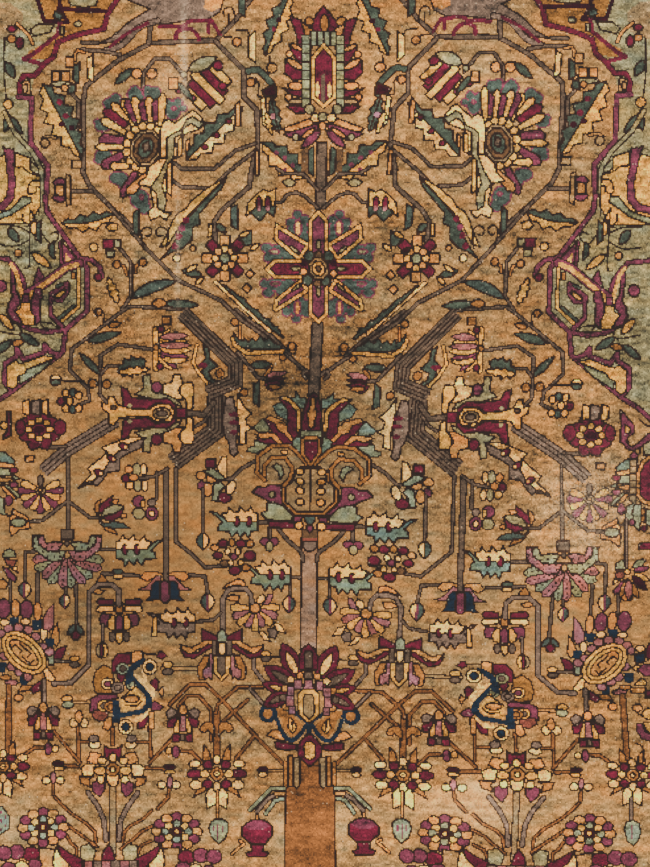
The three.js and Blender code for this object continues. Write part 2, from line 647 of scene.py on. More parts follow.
def saz_leaves(pen):
    """The long curled leaf and the spotted lance leaves inside the ring."""
    pen.leaf((186, 160), (243, 106), 28, "cream", half="teal", teeth=5)
    for x, y in ((205, 147), (217, 135), (229, 121)):
        pen.oval((x, y), (3.2, 2.6), 0, "wine")
    patches(pen, [
        ("apricot", [(235, 106), (240, 100), (241, 126), (236, 126)]),
        ("cream", [(160, 132), (163, 122), (169, 119), (175, 123), (184, 116), (192, 110), (197, 112),
          (206, 123), (199, 129), (182, 135), (176, 158), (160, 158)]),
        ("cream", [(161, 158), (150, 166), (146, 177), (137, 184), (150, 187), (154, 206), (148, 212),
          (151, 220), (160, 216), (166, 220), (172, 212), (164, 212), (170, 160)]),
        ("sage", [(205, 123), (199, 128), (191, 123), (184, 128), (182, 134), (175, 137), (174, 156),
          (166, 172), (162, 186), (167, 200), (164, 212), (158, 208), (157, 194), (151, 187), (160, 174),
          (167, 158), (167, 138), (172, 134), (181, 130), (187, 119), (193, 116), (198, 120)]),
        ("straw", [(178, 139), (183, 137), (182, 155), (177, 158)]),
        ("apricot", [(186, 141), (190, 138), (189, 150), (186, 152)]),
    ])
    bar_leaf(pen, (169, 194), (170, 162), 5, "straw")
    bar_leaf(pen, (235, 228), (234, 206), 7, "slate")
    # Striped bud at the top right of the ring
    striped_bud(pen.placed((208, 87), 136), 42, 43, ["straw", "wine", "straw", "wine", "straw"])
    pen.leaf((188, 70), (217, 57), 13, "sage")
    dots(pen, [
        (218, 65, 5, "wine"), (223, 86, 4, "wine"), (179, 90, 3, "wine"), (193, 98, 3, "rose"),
        (184, 74, 3.4, "sage"),
    ])
    pen.leaf((178, 82), (193, 100), 7, "teal")
    pen.patch([(169, 77), (178, 77), (178, 89), (169, 89)], "apricot")
    # Curls under the arch
    for x, hook in ((137, [(142, 82), (142, 72)]), (152, [(145, 82), (145, 72)])):
        pen.line(hook)
        pen.dot((x, 73), 5.4, "apricot")
    pen.leaf((133, 68), (115, 84), 8, "teal")


PALMETTE_LOBES = [
    [(113, 104, 8, 7), (108, 103, 4, 4), (116, 98, 5, 4)],
    [(135, 94, 7, 6), (135, 89, 4, 3), (141, 97, 3, 3)],
    [(152, 93, 8, 6), (148, 89, 4, 3), (157, 92, 3, 5)],
    [(103, 126, 7, 5), (98, 122, 3, 2.5)],
    [(104, 156, 8, 7), (99, 160, 4, 3)],
    [(119, 178, 9, 6), (124, 184, 5, 5)],
]
# Base, tip, width and wool of each petal
PALMETTE_PETALS = [
    ((134, 126), (123, 99), 9, "straw"), ((136, 122), (127, 99), 10, "rose"),
    ((141, 124), (134, 96), 9, "straw"), ((145, 121), (143, 100), 10, "rose"),
    ((151, 123), (149, 96), 9, "straw"), ((156, 121), (157, 99), 10, "rose"),
    ((161, 126), (163, 93), 9, "straw"), ((128, 121), (112, 103), 9, "straw"),
    ((127, 126), (104, 110), 11, "wine"), ((126, 133), (101, 119), 9, "straw"),
    ((124, 141), (99, 140), 14, "rose"), ((126, 147), (96, 147), 8, "straw"),
    ((125, 153), (102, 167), 11, "rose"), ((130, 166), (110, 166), 9, "straw"),
    ((136, 172), (122, 197), 10, "rose"), ((148, 174), (127, 194), 10, "apricot"),
]


def side_palmette(pen):
    """The open palmette in the ring: an eight-sided heart, scales, and petals up and left."""
    for lobes in PALMETTE_LOBES:
        fringed_lobe(pen, lobes, "slate", "rose")
    fringed_lobe(pen, [(173, 110, 7, 9), (168, 104, 4, 5), (183, 108, 4, 3), (178, 102, 4, 4)],
                 "slate", "rose", "pink", (174, 108), (2, 2))
    fringed_lobe(pen, [(140, 199, 9, 9), (133, 193, 4, 4), (144, 207, 6, 6)], "slate", "rose",
                 "pink", (142, 197), (2, 2))
    for petal in PALMETTE_PETALS:
        wedge(pen, *petal)
    pen.patch(around((146, 148), (23, 26), 22.5, 8), "brown")
    for turn in range(-170, 60, 23):
        away = np.array([np.sin(np.radians(turn)), -np.cos(np.radians(turn))])
        pen.dot((146, 148) + away * (19, 22), 4.4, "straw")
    for radii, wool in (((16, 20), "dun"), ((12.5, 16.5), "brown"), ((7.5, 11), "teal")):
        pen.patch(around((146, 148), radii, 22.5, 8), wool)
    pen.patch([(143, 144), (149, 141), (150, 150), (144, 152)], "stem")


def vine_left_of_ring(pen):
    """Buds and a serrated leaf on the vine between the cartouche and the ring."""
    pen.stems([[(84, 52), (78, 50), (75, 54), (75, 60)]], 1.8, "apricot", smooth=False)
    for x, y in ((70, 62), (56, 76), (66, 76)):
        pen.patch([(x - 4, y - 5), (x + 4, y - 5), (x + 4, y + 5), (x - 4, y + 5)], "apricot")
    bar_leaf(pen, (76, 82), (77, 64), 6, "teal")
    bar_leaf(pen, (91, 80), (90, 56), 6, "cream")
    pen.leaf((50, 84), (74, 84), 6, "sage")
    pen.patch([(70, 84), (76, 84), (76, 92), (68, 94)], "teal")
    pen.dot((65, 88), 3.6, "apricot")
    pen.leaf((43, 84), (82, 158), 34, "straw", half="teal", teeth=6)
    for x, y, wool in ((60, 102, "wine"), (66, 116, "wine"), (62, 124, "plum"), (72, 128, "plum")):
        pen.dot((x, y), 3.2, wool, None)
    pen.stems([[(56, 138), (48, 136), (42, 139)]], 1.6, "gold")
    pen.dot((45, 143), 4.6, "gold")
    # Open tulip on a short twig
    t = pen.placed((62, 190), -90)
    for x in (-9, 9):
        t.leaf((x, -4), (x * 0.8, 10), 8, "rose")
    t.patch([(-6, -2), (6, -2), (5, 7), (-5, 7)], "apricot")
    t.patch([(-16, -4), (16, -4), (14, -9), (-14, -9)], "gold")
    pen.patch([(72, 160), (82, 160), (82, 168), (72, 168)], "gold")


def cartouche_top(pen):
    """The thick wine border of the cartouche and the sage, orange and pink inside it."""
    patches(pen, [
        ("sage", [(-40, -12), (125, -12), (108, 16), (100, 30), (68, 36), (58, 44), (55, 56), (43, 70),
          (34, 80), (30, 98), (30, 142), (48, 166), (49, 205), (56, 224), (-40, 224)]),
        ("dun", [(-40, 8), (10, 2), (24, 14), (20, 34), (4, 40), (-40, 38)]),
        ("amber", [(38, -8), (118, -8), (107, 24), (100, 30), (66, 36), (52, 58), (33, 60), (28, 52),
          (58, 36), (62, 22), (46, 18)]),
    ], rim=None)
    edge = [(124, -12), (108, 12), (104, 28), (86, 32), (72, 36), (58, 42), (54, 56), (43, 66),
            (35, 76), (24, 76), (20, 84), (20, 94)]
    pen.line(edge, "ink", 6.4, smooth=False)
    pen.line(edge, "wine", 4.6, smooth=False)
    low_edge = [(18, 97), (32, 98), (30, 142), (48, 166), (45, 205), (54, 224)]
    pen.line(low_edge, "ink", 6.2, smooth=False)
    pen.line(low_edge, "rose", 4.2, smooth=False)
    band = [(36, -6), (44, 20), (68, 22), (62, 12), (58, -6)]
    pen.line(band, "plum", 4.4, smooth=False)
    pen.line([(58, 8), (106, 10)], "plum", 5, smooth=False)
    pen.line([(60, 22), (58, 34), (34, 54), (24, 59), (42, 64)], "wine", 4.6, smooth=False)
    pen.patch([(30, 30), (38, 24), (54, 24), (50, 32), (34, 36)], "sage")
    pen.patch([(60, 26), (64, 26), (64, 34), (60, 34)], "sage")
    pen.patch([(66, -10), (100, -10), (96, 4), (84, 6), (70, 4)], "sage")
    pen.patch([(55, 10), (63, 14), (60, 20), (53, 16)], "slate")
    pen.patch([(22, 82), (30, 80), (31, 94), (24, 95)], "gold")
    pen.oval((78, 23), (4, 3), 0, "sage")
    pen.line([(24, 94), (28, 90), (27, 84), (24, 85)])
    # Inner stem, berries and leaves on the sage
    pen.stems([[(17, 24), (28, 34), (33, 44)]], 2, "apricot")
    pen.line([(5, 38), (4, 70), (6, 96), (8, 130)])
    ovals(pen, [
        (12, 29, 4.6, 3.6, "wine"), (12, 39, 4.6, 4, "orange"), (20, 43, 4, 6, "wine"),
    ], line=LINE_KNOTS)
    pen.leaf((6, 62), (15, 78), 9, "teal")
    pen.dot((8, 104), 5, "straw")
    for base, tip in (((8, 112), (4, 132)), ((10, 116), (22, 134))):
        pen.leaf(base, tip, 6, "teal")
    pen.stems([[(4, 112), (14, 132), (32, 152), (41, 169), (41, 214)]], 3.2, "sage", smooth=False)
    # Pink handle and the gold vase inside
    pen.patch([(-40, 166), (14, 152), (30, 158), (30, 170), (40, 177), (40, 206), (34, 216),
               (30, 224), (-40, 224)], "straw")
    pen.patch([(30, 160), (38, 168), (39, 175), (30, 170)], "sage", line=SMALL_LINE_KNOTS)
    pen.line([(15, 152), (15, 166), (22, 167), (28, 172), (39, 176)])
    handle = [(8, 152), (9, 165), (11, 182), (9, 198), (2, 206), (-12, 209)]
    pen.line(handle, "ink", 9, smooth=False)
    pen.patch([(2, 146), (7, 150), (13, 149), (14, 158), (12, 168), (6, 166), (4, 156)], "rose")
    pen.patch([(-40, 222), (-4, 214), (10, 209), (22, 196), (30, 197), (31, 202), (22, 207),
               (10, 215), (-40, 232)], "mist")
    pen.line(handle, "rose", 6, smooth=False)
    pen.line([(40, 181), (31, 181), (27, 190), (29, 194), (35, 192), (36, 187), (40, 187)])
    pen.line([(22, 214), (22, 220), (28, 224), (34, 219), (30, 210)])
    pen.stems([[(35, 222), (34, 236)]], 3, "teal")


ROSETTE_LOBES = [
    {"ovals": [(20.5, 40, 9.5, 10), (21, 54, 4, 4), (14, 49, 4.5, 4), (27, 46, 5, 4), (14, 28, 5, 8)],
     "heart": "cream", "at": (20.5, 41), "size": (3.4, 7.5)},
    {"ovals": [(43, 16, 10, 7), (52, 21, 5, 4), (50, 11, 4, 4), (36, 24, 5, 5), (30, 14, 9, 4)],
     "heart": "sage", "at": (44, 17), "size": (4.6, 2.4)},
    {"ovals": [(43, -16, 10, 6), (54, -15, 4, 4), (50, -24, 5, 4), (36, -22, 6, 5), (30, -15, 8, 4)],
     "heart": "stem", "at": (43, -15), "size": (4.6, 2.2)},
    {"ovals": [(21, -37, 8.5, 10), (32, -43, 4, 4), (22, -50, 4, 3.5), (12, -40, 5, 8)],
     "heart": "apricot", "at": (21, -39), "size": (3, 7.5)},
]


def middle_rosette(pen):
    """The big blossom on the trunk: framed arms, framed slanting arms and fringed lobes."""
    c = single(pen, (318.5, 268.5))
    for lobe in ROSETTE_LOBES:
        for s in (-1, 1):
            lobes = [(s * x, y, rx, ry) for x, y, rx, ry in lobe["ovals"]]
            heart_at = (s * lobe["at"][0], lobe["at"][1])
            fringed_lobe(c, lobes, "slate", "rose", lobe["heart"], heart_at, lobe["size"])
    for s in (-1, 1):
        framed_patch(c, [(s * 7, 24), (s * 43, 46), (s * 45, 29), (s * 19, 7)], "rose")
        framed_patch(c, [(s * 8, -22), (s * 41, -43), (s * 46, -42), (s * 44, -31), (s * 17, -9)],
                     "rose")
        c.placed((0, 0), s * 52).oval((0, 31), (1.8, 6), 0, "sage")
        c.placed((0, 0), s * 130).oval((0, 29), (1.8, 6), 0, "sage")
    arms = [(0, 60, "rose"), (90, 54.5, "wine"), (180, 56, "rose"), (-90, 54.5, "wine")]
    for turn, reach, wool in arms:
        framed_petal(c.placed((0, 0), turn), 12, reach, 10, wool, shoulder=0.24, bar="sage")
    for x, y in ((-14.5, 5.5), (15.5, 5.5), (-14, -9)):
        c.dot((x, y), 3.6, "plum", None)
    for x, y in ((-9, 12.5), (10, 12.5), (-11, -11.5), (7, -12)):
        c.dot((x, y), 5.2, "teal")
    for x, y, wool in ((0, 14, "brown"), (-1, -15, "brown"), (-15, -3, "apricot"),
                       (15, -5, "apricot")):
        c.dot((x, y), 3.8, wool)
    for radii, wool in (((10, 12), "dun"), ((6.5, 8), "straw"), ((2.5, 3.2), "brown")):
        c.patch(around((0, 0), radii, 22.5, 8), wool)


PALMETTE_SIDES = [
    {"wine": [(16, 30), (22, 31), (34, 29), (31, 21), (24, 12), (16, 14)],
     "leaf": [(34, 31), (19, 24)], "width": 5, "wool": "apricot"},
    {"wine": [(18, 13), (38, 16), (39, 2), (31, -5), (18, -4)],
     "leaf": [(37, 16), (19, 5)], "width": 7, "wool": "apricot"},
    {"wine": [(41, -13), (30, -15), (19, -13), (19, -23), (31, -20)],
     "leaf": [(36, -10), (18, -12)], "width": 9, "wool": "apricot"},
    {"wine": [(37, -31), (28, -30), (18, -32), (18, -38), (28, -38)],
     "leaf": [(37, -26), (17, -27)], "width": 6, "wool": "dun"},
]


def top_palmette(pen):
    """The palmette near the top of the trunk."""
    c = single(pen, (323.5, 75))
    # Crown
    c.patch([(-12, 36), (-12, 50), (-7, 62), (0, 70), (7, 62), (14, 53), (15, 36)], "wine")
    c.oval((1, 52), (4.4, 9), 0, "orange")
    c.dot((-14, 54), 4.4, "orange")
    c.dot((18, 54), 5.2, "amber")
    for s, wool in ((-1, "orange"), (1, "apricot")):
        c.patch([(s * 34, 59), (s * 22, 55), (s * 15, 45), (s * 12, 34), (s * 12, 26), (s * 25, 25),
                 (s * 27, 40)], "wine")
        c.patch([(s * 22, 53), (s * 11, 46), (s * 5, 37), (s * 15, 33), (s * 19, 42)], wool)
    # Side petals
    for row in PALMETTE_SIDES:
        for s in (-1, 1):
            c.patch([(s * x, y) for x, y in row["wine"]], "wine")
            base, tip = [(s * x, y) for x, y in row["leaf"]]
            c.leaf(base, tip, row["width"], row["wool"])
    for s in (-1, 1):
        c.dot((s * 34, 21), 3.6, "apricot")
        c.dot((s * 35, -22), 3.6, "apricot")
    # Brick frame
    for s in (-1, 1):
        for y in np.arange(-32, 40, 9.0):
            c.patch([(s * 13, y), (s * 13, y + 9), (s * 21, y + 9), (s * 21, y)], "mist",
                    line=FINE_LINE_KNOTS)
    for x in (-10, -3.5, 3.5, 10):
        c.patch([(x - 3, 30), (x - 3, 44), (x + 3, 44), (x + 3, 30)], "mist",
                line=FINE_LINE_KNOTS)
    # Core
    framed_patch(c, [(-12.5, -23), (-12.5, 18), (0, 33), (13, 18), (13, -23), (0, -34)], "wine")
    c.patch([(-2, -28), (-2, -1), (0, 2), (2, -1), (2, -28)], "stem", None)
    for x in (-6, 6):
        c.oval((x, -15), (1.8, 8), 0, "cream", None)
    # Heart and wings below
    for s in (-1, 1):
        c.leaf((s * 8, -43), (s * 41, -54), 12, "apricot", bend=-5 * s)
        c.leaf((s * 3, -49), (s * 40, -59), 11, "rose", bend=-5 * s)
        c.leaf((s * 3, -55), (s * 22, -73), 9, "rose")
        c.leaf((s * 8, -53), (s * 24, -64), 5, "apricot")
        dots(c, [
            (s * 28, -62, 3.4, "sage"), (s * 14, -34, 5, "sage"), (s * 8, -43, 4.6, "cream"),
        ])
    c.dot((-1, -42), 4.6, "sage")
    c.dot((-1, -51), 4, "apricot")


def trunk_top(pen):
    """The thin trunk above and below the middle rosette."""
    axis_line(pen, (142, 208), 10, "stem")
    axis_line(pen, (322, 396), 11, "stem")


def branches_mid(pen):
    """The V of branches over the middle palmette, its side bundles and the loose twigs."""
    ring = [(108, 204), (148, 250), (178, 280), (206, 293), (222, 301), (242, 320), (262, 334),
            (284, 352), (308, 373)]
    pen.stems([ring], 2.2, "stem", smooth=False)
    pen.stems([[(236, 309), (252, 322), (272, 336), (290, 354)]], 1.8, "stem", smooth=False)
    pen.stems([[(306, 378), (303, 374), (306, 370), (310, 374)]], 2, "stem")
    pen.stems([[(238, 352), (246, 362), (258, 377), (268, 379)]], 2, "stem", smooth=False)
    twigs = [
        [(184, 309), (130, 306), (118, 314), (72, 349), (70, 370), (88, 388), (90, 400), (78, 405)],
        [(152, 349), (118, 344), (101, 355), (100, 394), (107, 402)],
        [(122, 309), (131, 296), (131, 262), (121, 249)],
    ]
    pen.stems(twigs, 1.8, "stem", smooth=False)
    pen.stems([[(136, 272), (136, 266), (142, 262)], [(127, 274), (124, 266), (118, 264)]], 1.8,
              "orange", smooth=False)


def lance_leaves(pen):
    """Pairs of a serrated teal strip and a cream strip that lie along the V."""
    pen.stems([[(270, 331), (216, 282)]], 2.6, "cream", smooth=False)
    comb_leaf(pen, [(283, 338), (258, 318), (222, 285)], 4.5, "teal", 5, side=-1, tooth=5)
    pen.stems([[(283, 351), (247, 353), (235, 345), (233, 338)]], 3.0, "straw", smooth=False)
    pen.patch([(233, 331), (238, 338), (243, 341), (244, 337), (248, 342), (252, 338), (256, 341),
               (261, 335), (264, 341), (269, 338), (275, 343), (282, 346), (280, 349), (250, 349),
               (240, 346), (235, 340)], "teal", line=SMALL_LINE_KNOTS)
    pen.stems([[(240, 326), (240, 338)]], 1.8, "apricot")
    for at, radius in (((235, 322), 4), ((292, 346), 4.2), ((283, 357), 3.4)):
        pen.dot(at, radius, "orange")
    pen.line([(288, 350), (294, 354), (297, 346)])
    pen.leaf((250, 365), (272, 364), 8, "teal")
    rays(pen, [((264, 376), (273, 366), 4, "orange"), ((265, 382), (273, 391), 5, "wine"),
               ((266, 376), (287, 372), 7, "pink"), ((266, 380), (286, 378), 5.4, "plum"),
               ((267, 383), (285, 383), 5.4, "wine"), ((268, 386), (282, 387), 5.4, "orange")])
    bar_leaf(pen, (256, 404), (257, 382), 6, "teal")
    pen.dot((244, 392), 4, "orange")


def flowers_left_of_rosette(pen):
    """The square-petalled flowers and the leaves between them and the ring."""
    flower = pen.placed((225, 258), 0)
    cross_flower(flower, "mist", ("straw", "apricot"), ("apricot", "wine", "apricot", "wine"), 23)
    pen.patch([(240, 238), (252, 230), (252, 244), (246, 246)], "teal")
    pen.patch([(209, 224), (213, 224), (212, 236), (208, 237)], "straw")
    for base, tip in (((239, 237), (250, 231)), ((250, 250), (260, 243))):
        pen.leaf(base, tip, 5, "straw")
    for x, y in ((250, 274), (247, 288)):
        pen.patch([(x - 5, y), (x, y - 5), (x + 5, y), (x, y + 5)], "apricot")
    pen.leaf((216, 224), (226, 232), 7, "teal")
    pen.leaf((232, 248), (240, 252), 5, "plum")
    # Two-coloured leaf with wine spots beside the ring
    patches(pen, [
        ("teal", [(226, 179), (222, 188), (206, 206), (199, 214), (200, 224), (193, 227), (192, 240),
          (183, 248), (172, 252), (161, 259), (172, 246), (178, 236), (183, 224), (190, 216), (206, 198)]),
        ("straw", [(226, 177), (206, 189), (191, 201), (187, 208), (178, 213), (172, 222), (168, 232),
          (160, 247), (168, 245), (176, 232), (184, 220), (192, 211), (206, 198)]),
    ])
    for x, y, wool in ((186, 220, "wine"), (179, 236, "wine"), (175, 246, "wine"),
                       (182, 228, "rose")):
        pen.dot((x, y), 3.4, wool, None)
    pen.dot((177, 258), 4, "cream")
    pen.dot((193, 248), 3, "apricot")
    pen.leaf((182, 270), (202, 275), 8, "teal")
    pen.leaf((186, 272), (198, 264), 5, "straw")
    pen.leaf((196, 284), (204, 276), 5, "straw")


def twig_leaves(pen):
    """Leaves, berries and small flowers on the twigs of the left field."""
    bar_leaf(pen, (136, 234), (136, 211), 6, "teal")
    lines(pen, [
        [(144, 249), (142, 238), (142, 230), (148, 227), (152, 231), (149, 236), (145, 235)],
        [(166, 249), (168, 238), (167, 230), (161, 227), (156, 231), (158, 236), (163, 235)],
        [(103, 324), (104, 314), (98, 308), (94, 312), (98, 316)], [(50, 380), (84, 381)],
    ])
    pen.leaf((114, 214), (61, 223), 20, "teal", half="straw", teeth=3, bend=4)
    pen.patch([(106, 227), (111, 222), (118, 224), (117, 230), (110, 231)], "straw")
    pen.patch([(103, 239), (114, 239), (113, 249), (103, 248)], "wine")
    pen.patch([(114, 239), (121, 240), (121, 248), (114, 247)], "sage")
    pen.patch([(106, 250), (115, 250), (114, 257), (107, 257)], "sage")
    pen.patch([(162, 316), (171, 316), (171, 324), (162, 324)], "orange")
    pen.dot((94, 247), 4.2, "straw")
    pen.dot((99, 312), 3.6, "orange")
    for at in ((117, 264), (143, 262)):
        pen.dot(at, 4, "orange")
    pen.leaf((118, 303), (108, 277), 11, "straw", teeth=2)
    pen.leaf((131, 298), (177, 281), 11, "slate", bend=3)
    leaves(pen, [
        ((164, 303), (199, 305), 9, "teal"), ((152, 303), (168, 303), 9, "orange"),
        ((88, 341), (121, 332), 9, "teal"), ((108, 326), (121, 323), 6, "orange"),
        ((101, 374), (80, 353), 7, "teal"),
    ])
    pen.leaf((118, 372), (146, 360), 22, "teal", teeth=3)
    pen.leaf((118, 372), (150, 369), 10, "straw", teeth=2)
    pen.stems([[(102, 373), (108, 366), (118, 366)]], 1.6, "stem", smooth=False)
    for at in ((93, 383), (107, 384)):
        pen.dot(at, 4.4, "orange")
    pen.oval((56, 378), (5.4, 3.4), 0, "cream")
    pen.oval((56, 382), (5, 3), 0, "teal")
    # Small open flower
    for x, y, wool in ((66, 393, "straw"), (70, 401, "straw"), (66, 408, "straw"), (61, 401, "wine"),
                       (73, 392, "slate"), (73, 409, "slate"), (79, 395, "straw"),
                       (79, 408, "straw")):
        pen.oval((x, y), (3.6, 4), 0, wool)


FAN_RAYS = [
    ((159, 344), (170, 328), 6, "straw"), ((158, 356), (173, 370), 7, "straw"),
    ((160, 353), (178, 369), 7, "rose"), ((162, 359), (188, 360), 8, "straw"),
    ((161, 341), (188, 341), 7, "straw"), ((160, 337), (189, 335), 8, "pink"),
    ((160, 352), (189, 357), 7, "rose"), ((160, 349), (191, 350), 9, "straw"),
    ((158, 345), (192, 345), 7, "pink"),
]


def striped_fan(pen):
    """The striped bud beside the lower bundle, with its leaf and buds."""
    rays(pen, FAN_RAYS)
    pen.stems([[(156, 369), (156, 328)]], 3.4, "straw", smooth=False)
    pen.dot((156, 347), 3, "orange")
    for x, y in ((161, 329), (160, 366)):
        pen.dot((x, y), 3.4, "wine")
    pen.patch([(203, 345), (209, 348), (210, 358), (218, 366), (209, 371), (211, 378), (216, 380),
               (216, 392), (211, 390), (211, 382), (204, 377), (202, 370), (206, 366), (200, 364),
               (206, 358)], "teal")
    pen.oval((203, 365), (5, 2.6), 0, "wine", None)
    pen.stems([[(197, 345), (193, 362), (200, 374), (207, 382), (208, 390)]], 2, "straw",
              smooth=False)
    pen.dot((220, 373), 4.4, "orange", line=SMALL_LINE_KNOTS)


def horizontal_tulip(pen):
    """The wine tulip that lies on its side over the roundels."""
    pen.stems([[(186, 413), (204, 414), (214, 402)]], 4, "stem", smooth=False)
    for s in (-1, 1):
        pen.patch([(x, 413 + s * y) for x, y in
                   [(143, 38), (150, 39), (152, 25), (164, 19), (177, 15), (182, 7), (172, 11),
                    (150, 15), (135, 19), (144, 25)]], "sage")
        pen.patch([(x, 413 + s * y) for x, y in
                   [(121, 27), (128, 24), (132, 16), (150, 14), (168, 15), (176, 9), (177, 3),
                    (168, 9), (156, 10), (147, 4), (124, 6)]], "wine")
        pen.patch([(x, 413 + s * y) for x, y in
                   [(181, 30), (192, 31), (194, 26), (193, 5), (187, 3), (186, 14), (180, 20)]],
                  "straw")
        pen.patch([(x, 413 + s * y) for x, y in
                   [(163, 29), (172, 31), (174, 39), (180, 39), (183, 30), (178, 23), (184, 14),
                    (177, 14), (163, 20)]], "cream" if s < 0 else "apricot")
        pen.oval((157, 413 + s * 26), (5.4, 5.6), 0, "rose" if s < 0 else "wine")
        pen.dot((130, 413 + s * 8), 2.2, "sage", None)
    pen.patch([(102, 402), (108, 404), (109, 396), (114, 396), (118, 404), (130, 408), (149, 409),
               (157, 404), (170, 404), (175, 412), (171, 421), (158, 422), (149, 416), (130, 416),
               (119, 418), (114, 425), (109, 424), (109, 413), (103, 409)], "straw")
    pen.patch([(176, 408), (187, 408), (187, 418), (176, 418)], "wine")
    ovals(pen, [
        (162, 413, 9, 6, "dun"), (162, 413, 5.5, 3, "stem"), (114, 407, 3.2, 2.2, "brown"),
    ], line=LINE_KNOTS)


def leaf_beside_bundle(pen):
    """The jagged cream leaf with its mauve half and wine commas, over the lower bundle."""
    pen.patch([(226, 398), (233, 396), (236, 410), (238, 430), (236, 440), (238, 452), (234, 456),
               (230, 452), (229, 442), (225, 436), (222, 420)], "mauve")
    pen.patch([(238, 394), (243, 404), (246, 408), (252, 413), (246, 418), (247, 424), (253, 428),
               (246, 431), (246, 443), (239, 445), (240, 430), (237, 412)], "cream")
    for y, reach in ((414, 5), (422, 5), (432, 3.6)):
        pen.oval((234, y), (reach, 2.4), 0, "wine", None)


CARTOUCHE_SCROLLS = [
    [(45, 196), (46, 211), (80, 258), (92, 260), (100, 267), (102, 276)],
    [(61, 242), (62, 268)],
    [(82, 260), (87, 268), (87, 311), (66, 329), (48, 332), (30, 329), (14, 320), (9, 311)],
    [(62, 326), (51, 315), (51, 294), (67, 283), (67, 292), (61, 300), (54, 299)],
    [(-40, 254), (-10, 257), (8, 259), (13, 266), (13, 292)],
    [(13, 264), (22, 277), (25, 288), (27, 298)],
    [(66, 329), (63, 352), (12, 391), (-10, 404)],
    [(60, 355), (50, 351), (45, 344), (45, 352), (24, 359), (17, 348), (17, 356), (5, 363),
     (4, 382), (12, 391)],
]


def cartouche_low(pen):
    """The lower end of the cartouche: rose scrolls over sage, and the vase."""
    pen.patch([(-40, 224), (30, 224), (41, 214), (42, 200), (46, 212), (80, 258), (86, 266),
               (86, 312), (66, 330), (62, 356), (12, 392), (-40, 424)], "sage", None)
    for path in CARTOUCHE_SCROLLS:
        pen.line(path, "ink", 6.2, smooth=False)
    for path in CARTOUCHE_SCROLLS:
        pen.line(path, "rose", 3.4, smooth=False)
    pen.dot((98, 277), 4, "wine")
    # Straw arm with its flags
    patches(pen, [
        ("rose", [(38, 267), (47, 281), (33, 284)]), ("rose", [(61, 241), (80, 262), (64, 270)]),
        ("orange", [(72, 271), (76, 273), (76, 279), (71, 279)]),
    ], line=SMALL_LINE_KNOTS)
    pen.patch([(65, 252), (71, 260), (66, 265)], "straw", None)
    pen.stems([[(79, 263), (66, 267), (48, 281), (27, 294)]], 8, "rose", smooth=False)
    pen.line([(77, 264), (66, 268), (48, 281), (32, 293), (30, 304)], "straw", 4.6, smooth=False)
    pen.stems([[(79, 268), (79, 306), (62, 321)]], 2.2, "straw", smooth=False)
    pen.stems([[(59, 318), (74, 306)]], 2.2, "teal")
    pen.stems([[(62, 284), (57, 286)]], 2, "teal")
    pen.leaf((54, 298), (66, 290), 5, "straw")
    # Vase
    pen.patch([(11, 284), (16, 284), (16, 290), (20, 298), (20, 304), (15, 311), (20, 318),
               (23, 325), (12, 320), (8, 312), (9, 302), (13, 297)], "rose")
    pen.patch([(35, 288), (41, 288), (43, 296), (40, 301), (41, 320), (36, 325), (35, 317),
               (31, 311), (32, 300)], "rose")
    pen.patch([(21, 300), (31, 300), (31, 310), (35, 317), (34, 325), (24, 325), (20, 317),
               (15, 311), (21, 308)], "straw", line=SMALL_LINE_KNOTS)
    pen.line([(11, 264), (16, 272), (20, 285), (24, 302)], "straw", 3.6, smooth=False)
    patches(pen, [
        ("rose", [(23, 294), (29, 294), (30, 302), (23, 302)]),
        ("sage", [(40, 322), (52, 323), (59, 329), (44, 328)]),
    ], line=SMALL_LINE_KNOTS)
    # Leaf with a grey lining at the foot
    patches(pen, [
        ("straw", [(7, 366), (16, 360), (19, 363), (26, 362), (45, 355), (56, 358), (44, 362), (27, 369),
          (25, 373), (18, 376), (17, 385), (12, 389), (7, 386)]),
        ("mist", [(19, 376), (25, 373), (28, 369), (53, 360), (40, 372), (20, 384)]),
    ], line=SMALL_LINE_KNOTS)
    # Sage ground details
    lines(pen, [
        [(29, 224), (29, 264), (24, 268)], [(29, 208), (29, 224), (24, 226)],
        [(-4, 224), (16, 226), (29, 232)], [(-4, 244), (14, 246), (29, 240)],
        [(36, 222), (42, 234), (50, 243), (58, 238), (56, 232), (50, 234)],
        [(-6, 330), (20, 334), (20, 324)],
    ])
    leaves(pen, [
        ((8, 228), (18, 242), 9, "teal"), ((31, 252), (51, 268), 8, "straw"),
        ((20, 333), (40, 346), 8, "teal"), ((12, 344), (25, 341), 7, "orange"),
        ((12, 340), (-6, 354), 8, "teal"), ((0, 314), (14, 330), 8, "straw"),
    ])
    pen.dot((18, 253), 4, "apricot")
    pen.dot((1, 286), 6, "rose")
    bar_leaves(pen, [
        ((38, 241), (38, 222), 5.4, "teal"), ((52, 257), (51, 243), 5.4, "teal"),
        ((33, 234), (33, 222), 5, "straw"),
    ])


def serrated_pair(pen, at, flip=1, low="jade", scale=1.0):
    """A leaf of two halves, cream above and dark below, with spines and two wine commas."""
    p = pen.placed(at, 0, scale)
    top = [(18, 8), (12, 9), (11, 14), (6, 9), (1, 10), (0, 15), (-5, 10), (-9, 11), (-11, 15),
           (-14, 9), (-18, 8), (-18, 0), (13, 0)]
    bottom = [(30, 10), (23, 9), (17, 4), (13, 0), (-18, 0), (-18, -9), (-11, -10), (-9, -17),
              (-5, -11), (0, -16), (3, -10), (8, -16), (11, -10), (22, -9), (21, -3), (17, -1),
              (23, 5)]
    p.patch([(flip * x, y) for x, y in top], "cream")
    p.patch([(flip * x, y) for x, y in bottom], low)
    for x in (-9, 3):
        p.oval((flip * x, 0), (2.8, 5), 0, "wine")
        p.dot((flip * (x + 3), 2), 1.7, "cream", None)


